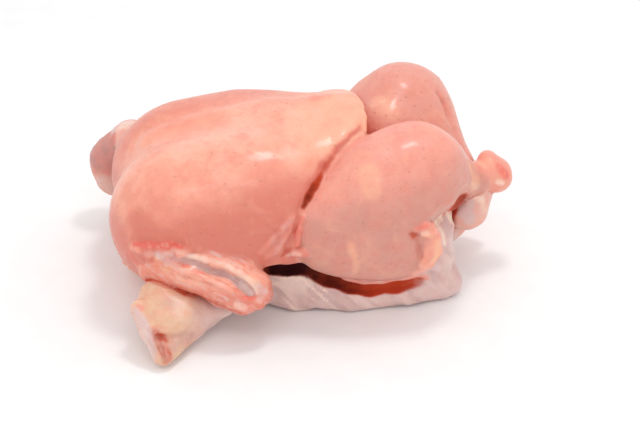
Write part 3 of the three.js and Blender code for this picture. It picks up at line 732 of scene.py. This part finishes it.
def settle(field, points, quads, rounds=2):
    """Spreads the points evenly along the surface and steps them back on it. Returns them and their normals."""
    pairs = np.concatenate([np.stack([quads[:, i], quads[:, (i + 1) % 4]], 1) for i in range(4)])
    count = np.bincount(pairs.ravel(), minlength=len(points))
    for _ in range(rounds):
        mean = np.empty_like(points)
        for k in range(3):
            sums = [np.bincount(pairs[:, i], points[pairs[:, 1 - i], k], len(points)) for i in (0, 1)]
            mean[:, k] = (sums[0] + sums[1]) / count
        g = gradient(field, points)
        size = np.sqrt((g**2).sum(1, keepdims=True)) + TINY
        normal = g / size
        pull = mean - points
        points = points + 0.6 * (pull - (pull * normal).sum(1, keepdims=True) * normal)
        level = by_slices(field, tuple(points.T.astype(np.float32)))[:, None]
        points = points - np.clip(level / np.maximum(size, 0.4), -0.8, 0.8) * normal
    g = gradient(field, points, 0.5)
    return points, g / (np.sqrt((g**2).sum(1, keepdims=True)) + TINY)


def linked(name, data):
    """An object of the data, put in the scene."""
    thing = bpy.data.objects.new(name, data)
    bpy.context.scene.collection.objects.link(thing)
    return thing


def new_mesh(name, points, faces):
    """A smooth mesh from points in the working frame's millimetres, as an object at the origin."""
    mesh = bpy.data.meshes.new(name)
    placed = (points - np.array([*CENTRE, 0])) * MM
    mesh.vertices.add(len(placed))
    mesh.vertices.foreach_set("co", placed.astype(np.float32).ravel())
    mesh.loops.add(faces.size)
    mesh.loops.foreach_set("vertex_index", faces.ravel().astype(np.int32))
    mesh.polygons.add(len(faces))
    mesh.polygons.foreach_set("loop_start", np.arange(0, faces.size, faces.shape[1], dtype=np.int32))
    mesh.update(calc_edges=True)
    mesh.shade_smooth()
    mesh.validate()
    return linked(name, mesh)


def add_mask(piece, name, values):
    attribute = piece.data.attributes.new(name, "FLOAT", "POINT")
    attribute.data.foreach_set("value", np.clip(values, 0, 1).astype(np.float32))


# ---- the masks that the skin's material reads
def ramp(x, low, high):
    """0 at low, rising softly to 1 at high."""
    t = np.clip((x - low) / (high - low), 0, 1)
    return t * t * (3 - 2 * t)


def most(*values):
    return functools.reduce(np.maximum, values)


def hollow(field, points, normals):
    """How much of the open space over each point is taken by the skin around it."""
    total = 0
    for reach, weight in ((2, 0.3), (4.5, 0.4), (9, 0.3)):
        there = by_slices(field, tuple((points + reach * normals).T.astype(np.float32)))
        total = total + weight * np.clip(1 - there / reach, 0, 1)
    return total


def masks(points, normals):
    """The skin's masks by name: first by mass, height and slope, then the marks over them."""
    p = tuple(points.T.astype(np.float32))
    _, m = bird(p, 1.0, True)
    x, y, z = p
    up = normals[:, 2]
    patchy, mild = (0.5 + 0.5 * noise(p, size, shift) for size, shift in ((7, 2.2), (21, 6.6)))
    streaky = 0.5 + 0.5 * noise((x / 3 + z / 6, y / 6, z / 4), 1.6, 4.4)
    streaks = noise(((x + z) / 3.4, (x - z) / 24, y / 24), 1, 5.1)
    # where each part of the bird shows; the legs' skin reaches down to the pocket under them
    xs, _, zs, _ = zip(*FOLD)
    over_fold = near(m["fold"], 8) * ramp(z - np.interp(x, xs, zs), -0.5, 1.5) * ramp(x, -4, 10)
    legs = most(near(np.minimum(m["near_leg"], m["far_leg"]), 3), over_fold)
    far_leg, far_hock, far_wing, tip = (near(m[name], 3) for name in ("far_leg", "far_hock", "far_wing", "wing_tip"))
    hocks = most(near(m["near_hock"], 3), far_hock)
    web = near(ellipsoid(p, (-15, -74, 66), (17, 9, 22)), 5)
    chest = near(m["breast"], 2) * (1 - legs)
    wing = near(np.minimum(m["wing_bones"], m["wing_rim"]), 3)
    tip = tip * (1 - wing)
    tail = near(m["tail"], 3) * ramp(x, 106, 116)
    back = near(np.minimum(m["trunk"], m["skirt"]), 7) * (1 - legs) * (1 - chest) * (1 - web)
    back = most(back, (1 - ramp(z, 30, 44)) * ramp(x, -70, -45) * (1 - legs) * (1 - wing))
    back = back * (1 - near(m["far_wing"], 4)) * (1 - 0.85 * tail)
    vent_rim = near(m["vent_rim"], 10) * ramp(y, -22, -8)
    mauve = far_wing * (1 - ramp(z, 66, 80)) * ramp(z, 35, 53) * (1 - ramp(x, -112, -96))
    # painted shade: the breast turns darker and redder below a line that climbs towards the thigh
    line = 0.38 + 0.42 * ramp(x, -118, -12)
    # painted red shade in the creases, and where one mass lies against another
    inner = [strength * near(m[name], width) for name, strength, width in RED_CREASES]
    inner += [strength * near(m[a], 2.6) * near(m[b], 2.6) for a, b, strength in TOUCHING]
    made = {
        "wing": wing,
        # painted shade on the breast's lower and far sides, beside the seam and on the wing's lower bone; pinker skin
        # on the web, the far wing and the tail
        "flush": most(
            chest * most(1 - ramp(up - line + 0.12 * (mild - 0.5), -0.38, 0.18), 0.66 * ramp(y, 4, 28)),
            chest * near(m["seam"], 26) * (1 - ramp(z, 96, 114)),
            0.75 * web,
            far_wing,
            0.72 * wing * (1 - ramp(z, 36, 50)),
            0.35 * tail * mild,
        ),
        "thigh": most(legs, 0.5 * hocks),
        # greyer skin on the legs, and painted shade on the near thigh, more the less it faces up
        "cool": most(
            near(m["near_leg"], 3) * (1 - ramp(up + 0.3 * (mild - 0.5), 0.1, 0.95)) * (0.65 + 0.35 * patchy),
            0.45 * far_leg,
        ),
        "cream": most(tip * (0.7 + 0.3 * patchy), 0.8 * far_wing * (1 - ramp(z, 36, 54)) * (0.6 + 0.4 * mild)),
        "fat": most(
            0.8 * near(m["lip"], 5),
            0.5 * chest * ramp(x, -40, 22) * ramp(up, 0.2, 0.8),
            # cream on the hock below, partly painted light where the hock above shades it
            0.4 * far_hock,
            0.75 * vent_rim,
            0.4 * tail,
        ),
        "pale": most(
            back * (1 - ramp(z, 60, 80)) * (0.75 + 0.25 * streaky) * (1 - 0.7 * vent_rim),
            0.75 * tip * ramp(x, -88, -62),
            # pale skin on the hock below, partly painted light where the hock above shades it
            0.48 * far_hock,
            # pale skin over the keel, partly a painted reflection of the bright surround along its ridge
            0.3 * near(m["keel"], 2.2) * (1 - ramp(x, -30, 0)),
            0.38 * near(m["web"], 1.4) * (0.4 + 0.6 * streaky),
        ),
        "wax": most(
            0.45 * near(m["rim"], 2.5) * (0.5 + 0.5 * patchy),
            # painted highlight along the crests of the back's folds
            0.5 * back * ramp(-drape(p), -0.05, 0.4) * (1 - ramp(x, -5, 70)),
            0.62 * back * ramp(streaks, 0.12, 0.5) * (1 - 0.6 * ramp(x, 0, 70)),
            0.4 * near(np.minimum(m["neck_rim"], m["vent_rim"]), 1.6) * patchy,
        ),
        # mauve skin on the far wing, painted shade in the hollows of the back's folds, and grey streaks on the back
        "veil": most(0.5 * mauve, 0.4 * back * ramp(drape(p), 0.1, 0.45), 0.5 * back * ramp(-streaks, 0.15, 0.5)),
        "red": most(0.4 * near(limb(p, CRUMPLED, 4), 8) * ramp(patchy, 0.3, 0.8), 0.4 * near(m["sinew"], 2)),
        # red flesh and painted shade in the pocket under each thigh, in the vent and in the neck's hole, and the
        # painted shade of the creases
        "inner": most(
            near(m["fold"], 2.4) * (1 - 0.42 * ramp(x, 56, 80)),
            0.85 * near(np.minimum(m["vent"], m["neck_hole"]), 2.4),
            *inner,
        ),
        # painted shade: darkest in the pocket towards the neck and fading towards the tail, and deep in the neck's hole
        # and the vent; also the far wing's darker mauve skin
        "dark": most(
            near(m["fold"], 2.4) * (1 - 0.36 * ramp(x, -8, 10) - 0.6 * ramp(x, 13, 60)) * ramp(x, -32, -23),
            0.26 * mauve,
            0.75 * near(ellipsoid(p, *NECK_DEPTH), 3),
            0.75 * near(limb(p, VENT_DEPTH, 4), 3),
        ),
    }
    for name, strength, softness, stations in MARKS:
        made[name] = most(made[name], strength * near(limb(p, stations, 2), softness))
    # how closed in each point is, which sets the painted shade over hollows
    made["hollow"] = hollow(bird, points, normals)
    # feathers grew in tracts on the legs, the flanks and the back
    sides = 0.75 * chest * (1 - ramp(up, 0.5, 0.95))
    tracts = most(0.9 * legs, sides, 0.6 * back, 0.4 * chest, 0.6 * wing, 0.6 * far_wing)
    bare = most(made["inner"], made["dark"], made["veil"], hocks)
    made["follicles"] = tracts * (1 - bare) * (1 - ramp(made["hollow"], 0.35, 0.6)) * (0.3 + 0.7 * patchy)
    return made


# ---- materials
def linear(r, g, b):
    """A colour written as a screen shows it, in the linear values that a shader takes."""
    return tuple((c / 255 / 12.92) if c <= 10 else ((c / 255 + 0.055) / 1.055) ** 2.4 for c in (r, g, b)) + (1.0,)


def add_node(tree, kind, values=None, **settings):
    """A node with its settings, and its inputs by name or number, each a value or a socket to link."""
    node = tree.nodes.new(kind)
    for key, value in settings.items():
        setattr(node, key, value)
    for key, value in (values or {}).items():
        if isinstance(value, bpy.types.NodeSocket):
            tree.links.new(value, node.inputs[key])
        else:
            node.inputs[key].default_value = value
    return node


class Nodes:
    """Short calls for building a material's tree."""

    def __init__(self, name):
        self.material = bpy.data.materials.new(name)
        self.material.use_nodes = True
        self.tree = self.material.node_tree
        self.tree.nodes.clear()
        self.object_space = self.add("ShaderNodeTexCoord").outputs["Object"]

    def add(self, kind, values=None, **settings):
        return add_node(self.tree, kind, values, **settings)

    def noise(self, scale, detail=2.0, roughness=0.5, distortion=0.0, vector=None):
        values = {"Scale": scale, "Detail": detail, "Roughness": roughness, "Distortion": distortion}
        return self.add("ShaderNodeTexNoise", {"Vector": vector or self.object_space, **values}).outputs["Fac"]

    def cells(self, scale):
        return self.add("ShaderNodeTexVoronoi", {"Vector": self.object_space, "Scale": scale}).outputs["Distance"]

    def span(self, value, low, high, to_low=0.0, to_high=1.0):
        values = {0: value, 1: low, 2: high, 3: to_low, 4: to_high}
        return self.add("ShaderNodeMapRange", values, interpolation_type="SMOOTHSTEP").outputs[0]

    def math(self, operation, a, b):
        return self.add("ShaderNodeMath", {0: a, 1: b}, operation=operation).outputs[0]

    def times(self, a, b):
        return self.math("MULTIPLY", a, b)

    def minus(self, a, b):
        return self.math("SUBTRACT", a, b)

    def mask(self, name):
        return self.add("ShaderNodeAttribute", attribute_name=name).outputs["Fac"]

    def mix(self, factor, a, b, blend="MIX"):
        # the colours' own sockets on a node that mixes several kinds of value
        values = {0: factor, 6: a, 7: b}
        return self.add("ShaderNodeMix", values, data_type="RGBA", blend_type=blend).outputs[2]

    def bump(self, height, distance, strength=1.0, below=None):
        values = {"Height": height, "Distance": distance, "Strength": strength}
        if below:
            values["Normal"] = below
        return self.add("ShaderNodeBump", values).outputs[0]

    def finish(self, shader):
        self.tree.links.new(shader.outputs[0], self.add("ShaderNodeOutputMaterial").inputs["Surface"])
        return self.material


def skin_material(looks, name="raw_skin", through=0.3):
    """Raw skin in the given colours. `through` is how much light passes under its surface."""
    n = Nodes(name)
    broad = n.noise(28, 3, 0.55)
    blotch = n.noise(95, 4, 0.6, 0.4)
    fine = n.noise(520, 4, 0.65)
    colour = n.mix(n.span(broad, 0.36, 0.64), looks["salmon"], looks["peach"])
    # every mask's edge is broken up a little
    edge = n.times(n.minus(n.noise(170, 3, 0.6), 0.5), 0.45)

    def painted(colour, names, low, high):
        for name in names:
            value = n.math("ADD", n.mask(name), edge)
            colour = n.mix(n.span(value, low, high), colour, looks[name])
        return colour

    colour = painted(colour, ("flush", "thigh", "cool", "cream"), -0.05, 1.05)
    colour = n.mix(n.times(n.span(blotch, 0.42, 0.7), 0.3), colour, looks["flush"])
    # fat shows through in soft clouds, and thin vessels wander between them
    clouds = n.span(n.noise(60, 3, 0.6, 0.6), 0.52, 0.72, 0.0, 0.22)
    colour = n.mix(clouds, colour, looks["fat"])
    ridge = n.math("ABSOLUTE", n.minus(n.noise(46, 5, 0.6, 1.6), 0.5), 0.0)
    threads = n.times(n.span(ridge, 0.0, 0.012, 1.0, 0.0), n.span(n.noise(17, 2), 0.45, 0.6, 0.0, 0.25))
    colour = n.mix(threads, colour, looks["vessel"])
    # on the wing the skin lies in long fibres over the bones
    turn = Vector(WING_FIBRES["along"]).to_track_quat("X", "Z").to_euler()
    size = [c * MM for c in WING_FIBRES["size"]]
    values = {"Vector": n.object_space, "Rotation": turn, "Scale": size}
    fibre = n.noise(1.0, 3, 0.6, 0.5, n.add("ShaderNodeMapping", values, vector_type="TEXTURE").outputs[0])
    wing = n.mask("wing")
    colour = n.mix(n.times(wing, n.span(fibre, 0.5, 0.68, 0.0, 0.55)), colour, looks["pale"])
    colour = n.mix(n.times(wing, n.span(fibre, 0.34, 0.48, 0.6, 0.0)), colour, looks["flush"])
    colour = painted(colour, ("fat", "pale", "veil", "red", "wax"), 0.05, 0.95)
    # red skin is mottled with pale beads of fat
    beads = n.times(n.mask("red"), n.span(n.cells(240), 0.1, 0.55, 0.8, 0.0))
    colour = n.mix(beads, colour, looks["thigh"])
    colour = n.mix(n.span(fine, 0.3, 0.7, 0.0, 0.12), colour, looks["flush"])
    # painted shade: the colour is darkened over hollows, more so where the skin closes in round a point
    deep = n.span(n.mask("hollow"), 0.4, 1.0, 0.0, 0.7)
    colour = n.mix(deep, colour, looks["shade"], "MULTIPLY")
    colour = painted(colour, ("inner", "dark"), 0.1, 0.9)
    # the skin's grain: fine creases, and pores
    grain = n.bump(n.noise(900, 3, 0.6), 0.00012, 0.4)
    grain = n.bump(n.span(n.cells(330), 0.0, 0.35), 0.0001, 0.3, grain)
    grain = n.bump(n.noise(150, 3, 0.55, 0.3), 0.0008, 0.45, grain)
    grain = n.bump(n.noise(62, 2, 0.5, 0.4), 0.0022, 0.35, grain)
    # raw flesh deep in a fold is dull
    dull = n.math("MAXIMUM", n.span(n.mask("inner"), 0.3, 0.9), n.span(n.mask("dark"), 0.2, 0.8))
    rough = n.math("MAXIMUM", n.span(n.noise(70, 3, 0.6), 0.3, 0.7, 0.36, 0.5), dull)
    # the wing tip's drier skin shines less
    coat = n.times(n.minus(1.0, dull), n.minus(0.3, n.times(n.mask("cream"), 0.22)))
    shader = n.add(
        "ShaderNodeBsdfPrincipled",
        {
            "Base Color": colour,
            "Roughness": rough,
            "Normal": grain,
            "Subsurface Weight": through,
            "Subsurface Scale": 0.004,
            "Subsurface Radius": (1.0, 0.32, 0.18),
            "Specular IOR Level": 0.32,
            "Coat Weight": coat,
            "Coat Roughness": 0.16,
        },
    )
    return n.finish(shader)


def floor_material():
    n = Nodes("pale_floor")
    speck = n.span(n.noise(40, 2), 0.3, 0.7)
    colour = n.mix(speck, (0.92, 0.92, 0.92, 1), (0.94, 0.94, 0.94, 1))
    return n.finish(n.add("ShaderNodeBsdfPrincipled", {"Base Color": colour, "Roughness": 0.7}))


# ---- follicles, by Geometry Nodes
FOLLICLE_INPUTS = tuple((name, "INPUT", "Float") for name in ("Spacing", "Radius", "Height", "Density"))
FOLLICLE_INPUTS += (("Seed", "INPUT", "Int"),)


def follicle_tree(material):
    """A tree that sets a low bump on the skin wherever a feather was plucked."""
    tree = bpy.data.node_groups.new("skin_follicles", "GeometryNodeTree")
    for name, way, kind in (("Skin", "INPUT", "Geometry"), *FOLLICLE_INPUTS, ("Follicles", "OUTPUT", "Geometry")):
        tree.interface.new_socket(name, in_out=way, socket_type="NodeSocket" + kind)
    add = functools.partial(add_node, tree)
    given = add("NodeGroupInput").outputs
    tracts = add("GeometryNodeInputNamedAttribute", {"Name": "follicles"}, data_type="FLOAT").outputs[0]
    points = add(
        "GeometryNodeDistributePointsOnFaces",
        {
            "Mesh": given["Skin"],
            "Distance Min": given["Spacing"],
            "Density Max": given["Density"],
            "Density Factor": tracts,
            "Seed": given["Seed"],
        },
        distribute_method="POISSON",
    )
    # only the flat top of each bump stands out of the skin
    ball = add("GeometryNodeMeshIcoSphere", {"Radius": 1.0, "Subdivisions": 1})
    bump = add("GeometryNodeTransform", {"Geometry": ball.outputs["Mesh"], "Translation": (0.0, 0.0, -0.45)})
    uneven = add("FunctionNodeRandomValue", {2: 0.65, 3: 1.25, "Seed": given["Seed"]}, data_type="FLOAT").outputs[1]
    size = add("ShaderNodeCombineXYZ", {0: given["Radius"], 1: given["Radius"], 2: given["Height"]})
    scale = add("ShaderNodeVectorMath", {0: size.outputs[0], "Scale": uneven}, operation="SCALE")
    placed = add(
        "GeometryNodeInstanceOnPoints",
        {
            "Points": points.outputs["Points"],
            "Instance": bump.outputs["Geometry"],
            "Rotation": points.outputs["Rotation"],
            "Scale": scale.outputs[0],
        },
    )
    real = add("GeometryNodeRealizeInstances", {"Geometry": placed.outputs[0]})
    smooth = add("GeometryNodeSetShadeSmooth", {"Geometry": real.outputs[0]})
    painted = add("GeometryNodeSetMaterial", {"Geometry": smooth.outputs[0], "Material": material})
    add("NodeGroupOutput", {"Follicles": painted.outputs[0]})
    return tree


def grown(name, mesh, tree, values):
    """An object whose plain mesh is what the tree makes of the given mesh."""
    piece = linked(name, mesh)
    modifier = piece.modifiers.new(name, "NODES")
    modifier.node_group = tree
    for item in tree.interface.items_tree:
        if item.name in values:
            modifier[item.identifier] = values[item.name]
    whole = bpy.data.meshes.new_from_object(piece.evaluated_get(bpy.context.evaluated_depsgraph_get()))
    piece.modifiers.remove(modifier)
    piece.data = whole
    whole.name = name
    return piece


# ---- settings
# What each colour of the skin stands for, and its look on a screen.
COLOURS = {
    "salmon": ("Main colour of the breast's skin", 241, 158, 134),
    "peach": ("Lighter skin over fat", 249, 180, 157),
    # pinker skin, also painted as shade on the breast's lower and far sides and on the wing's lower bone
    "flush": ("Pinker skin of the flanks", 219, 124, 107),
    "thigh": ("Skin of the legs", 237, 158, 141),
    # greyer skin, also painted as shade on the thigh's lower side
    "cool": ("Greyer skin on the side of the thigh", 212, 150, 135),
    "cream": ("Yellowish skin of the wing tip and ankles", 226, 189, 159),
    # cream fat under the skin, also painted as highlights and as light on the hock below
    "fat": ("Cream fat under the skin", 248, 184, 150),
    # thin pale skin, also painted as light on the hock below and as a reflection over the keel
    "pale": ("Thin pale skin of the back and wing tip", 222, 193, 188),
    # grey membrane over the bones, also painted as shade in the hollows of the back's folds
    "veil": ("Grey membrane over the bones", 196, 160, 156),
    # white fat at the edges of the skin, also painted as highlights
    "wax": ("White fat at the edges of the skin", 255, 232, 214),
    "red": ("Bright red skin at the joints", 234, 106, 90),
    # red flesh at cuts and holes, also painted as red shade in folds, gaps and where parts touch
    "inner": ("Red flesh inside the folds", 194, 68, 36),
    # painted shade deep in folds, gaps and holes, and the far wing's darker mauve skin
    "dark": ("Darkest flesh inside the folds", 56, 2, 2),
    "vessel": ("Thin vessels under the skin", 210, 124, 120),
    # painted shade, multiplied in over hollows and creases
    "shade": ("Tint of the creases", 222, 150, 128),
}


class SkinSettings(bpy.types.PropertyGroup):
    """Sizes and colours of the bird's skin"""

    step: FloatProperty(name="Mesh step", description="Coarseness of the skin's mesh", default=1.0, min=0.9, max=4.0)
    wrinkle: FloatProperty(name="Wrinkling", description="Depth of the wrinkles", default=1.0, min=0.0, max=2.0)


for key, (about, *rgb) in COLOURS.items():
    SkinSettings.__annotations__[key] = FloatVectorProperty(
        name=key.capitalize(), description=about, subtype="COLOR", size=4, default=linear(*rgb)
    )


def looks(settings):
    """The colours by name, as they are set."""
    return {name: tuple(getattr(settings, name)) for name in COLOURS}


class FollicleSettings(bpy.types.PropertyGroup):
    """Sizes of the bumps that plucked feathers leave"""

    spacing: FloatProperty(name="Spacing", description="Least distance of bumps", subtype="DISTANCE", default=0.0042)
    radius: FloatProperty(name="Radius", description="Radius of a bump", subtype="DISTANCE", default=0.0009)
    height: FloatProperty(name="Height", description="Half height of a bump", subtype="DISTANCE", default=0.0004)
    density: FloatProperty(name="Density", description="Most bumps to a square metre", default=52000.0)
    seed: IntProperty(name="Seed", description="Seed of the bumps' places", default=5)


class StageSettings(bpy.types.PropertyGroup):
    """Camera and light"""

    lens: FloatProperty(name="Lens", description="Focal length", subtype="DISTANCE_CAMERA", default=85.0)
    distance: FloatProperty(name="Distance", description="Camera's distance", subtype="DISTANCE", default=1.042)
    azimuth: FloatProperty(name="Azimuth", description="Camera's turn", subtype="ANGLE", default=math.radians(-5))
    elevation: FloatProperty(name="Elevation", description="Camera's height", subtype="ANGLE", default=math.radians(30))
    key: FloatProperty(name="Key light", description="Power of the softbox overhead", subtype="POWER", default=1.6)
    front: FloatProperty(name="Front light", description="Power of the softbox in front", subtype="POWER", default=0.8)
    world: FloatProperty(name="Surround", description="Strength of the white surround", default=0.95)


# ---- operators
class CHICKEN_OT_skin(bpy.types.Operator):
    """Model the whole bird as one closed skin"""

    bl_idname = "chicken.skin"
    bl_label = "Skin"
    bl_options = {"REGISTER", "UNDO"}

    def execute(self, context):
        s = context.scene.chicken_skin
        scale = s.step * 1.0

        def field(p):
            return bird(p, s.wrinkle)

        axes = [ticks(stops, steps, scale) for stops, steps in zip(GRID_STOPS, GRID_STEPS)]
        points, quads = surface_net(axes, untangle(sample(axes, field)))
        points, normals = settle(field, points, quads)
        piece = new_mesh("bird_skin", points, quads)
        for name, values in masks(points, normals).items():
            add_mask(piece, name, values)
        piece.data.materials.append(skin_material(looks(s)))
        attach(piece, BODY)
        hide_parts(NODE)
        return {"FINISHED"}


class CHICKEN_OT_follicles(bpy.types.Operator):
    """Scatter the feather follicles over the skin"""

    bl_idname = "chicken.follicles"
    bl_label = "Follicles"
    bl_options = {"REGISTER", "UNDO"}

    def execute(self, context):
        s = context.scene.chicken_follicles
        skin = bpy.data.objects.get("bird_skin")
        if skin is None:
            raise RuntimeError("the skin is modelled before its follicles")
        tree = follicle_tree(skin_material(looks(context.scene.chicken_skin), "follicle_skin", 0.0))
        values = {name: getattr(s, name.lower()) for name, _, _ in FOLLICLE_INPUTS}
        piece = grown("bird_follicles", skin.data, tree, values)
        if len(piece.data.polygons) == 0:
            raise RuntimeError("no follicles were made")
        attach(piece, BODY)
        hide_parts(NODE)
        return {"FINISHED"}


class CHICKEN_OT_stage(bpy.types.Operator):
    """Set the floor, the lights and the camera"""

    bl_idname = "chicken.stage"
    bl_label = "Stage"
    bl_options = {"REGISTER", "UNDO"}

    # Where the working frame's origin falls in a frame of 640 by 426 pixels.
    frame_size = (640, 426)
    origin_pixel = (300, 266)
    sensor_width = 36.0
    clip = (0.01, 50.0)
    # Each softbox's place, the point it faces and its size, in metres.
    softboxes = {
        "key": ((0.14, 0.06, 0.93), (0.0, 0.0, 0.05), (0.15, 0.15)),
        "front": ((-0.12, -0.6, 0.9), (0.0, -0.03, 0.07), (0.6, 0.11)),
    }
    # The floor's half side, and how far it lies under the bird.
    floor_half = 6.0
    floor_drop = 0.0002

    def execute(self, context):
        s = context.scene.chicken_stage
        self.camera(s)
        self.floor()
        for name, (place, aim, size) in self.softboxes.items():
            self.softbox(name + "_light", place, aim, size, getattr(s, name))
        world = bpy.data.worlds.new("white_surround")
        world.use_nodes = True
        background = world.node_tree.nodes["Background"]
        background.inputs["Color"].default_value = (1.0, 1.0, 1.0, 1.0)
        background.inputs["Strength"].default_value = s.world
        context.scene.world = world
        context.scene.view_settings.view_transform = "Standard"
        return {"FINISHED"}

    def camera(self, s):
        level = math.cos(s.elevation)
        back = Vector((math.sin(s.azimuth) * level, -math.cos(s.azimuth) * level, math.sin(s.elevation)))
        right = Vector((math.cos(s.azimuth), math.sin(s.azimuth), 0))
        up = back.cross(right)
        data = bpy.data.cameras.new("camera")
        data.lens, data.sensor_width = s.lens, self.sensor_width
        data.clip_start, data.clip_end = self.clip
        pixel = s.distance * data.sensor_width / s.lens / self.frame_size[0]
        half = [c / 2 for c in self.frame_size]
        place = back * s.distance - Vector((*CENTRE, 0)) * MM
        place += right * (half[0] - self.origin_pixel[0]) * pixel
        place += up * (self.origin_pixel[1] - half[1]) * pixel
        camera = linked("camera", data)
        camera.matrix_world = Matrix.Translation(place) @ Matrix((right, up, back)).transposed().to_4x4()
        bpy.context.scene.camera = camera

    def floor(self):
        mesh = bpy.data.meshes.new("floor")
        turns = ((-1, -1), (1, -1), (1, 1), (-1, 1))
        corners = [(self.floor_half * x, self.floor_half * y, -self.floor_drop) for x, y in turns]
        mesh.from_pydata(corners, [], [(0, 1, 2, 3)])
        mesh.materials.append(floor_material())
        floor = linked("floor", mesh)

    def softbox(self, name, place, aim, size, power):
        data = bpy.data.lights.new(name, "AREA")
        data.shape, data.energy = "RECTANGLE", power
        data.size, data.size_y = size
        light = linked(name, data)
        light.location = place
        light.rotation_euler = (Vector(aim) - Vector(place)).to_track_quat("-Z", "Y").to_euler()


class CHICKEN_PT_panel(bpy.types.Panel):
    """Lists the steps and their settings"""

    bl_idname = "CHICKEN_PT_panel"
    bl_label = "Whole Raw Chicken"
    bl_space_type = "VIEW_3D"
    bl_region_type = "UI"
    bl_category = "Chicken"

    def draw(self, context):
        for operator, settings in STEPS:
            box = self.layout.box()
            box.operator(operator.bl_idname)
            group = getattr(context.scene, settings)
            for name in group.bl_rna.properties.keys():
                if name not in ("rna_type", "name"):
                    box.prop(group, name)


STEPS = (
    (CHICKEN_OT_skin, "chicken_skin"),
    (CHICKEN_OT_follicles, "chicken_follicles"),
    (CHICKEN_OT_stage, "chicken_stage"),
)
SETTINGS = (SkinSettings, FollicleSettings, StageSettings)
CLASSES = SETTINGS + tuple(operator for operator, _ in STEPS) + (CHICKEN_PT_panel,)


def register():
    for cls in CLASSES:
        bpy.utils.register_class(cls)
    for group, (_, name) in zip(SETTINGS, STEPS):
        setattr(bpy.types.Scene, name, PointerProperty(type=group))


def unregister():
    for _, name in STEPS:
        delattr(bpy.types.Scene, name)
    for cls in reversed(CLASSES):
        bpy.utils.unregister_class(cls)


def main():
    register()
    bpy.ops.chicken.skin()
    bpy.ops.chicken.follicles()
    bpy.ops.chicken.stage()


if __name__ == "__main__":
    main()
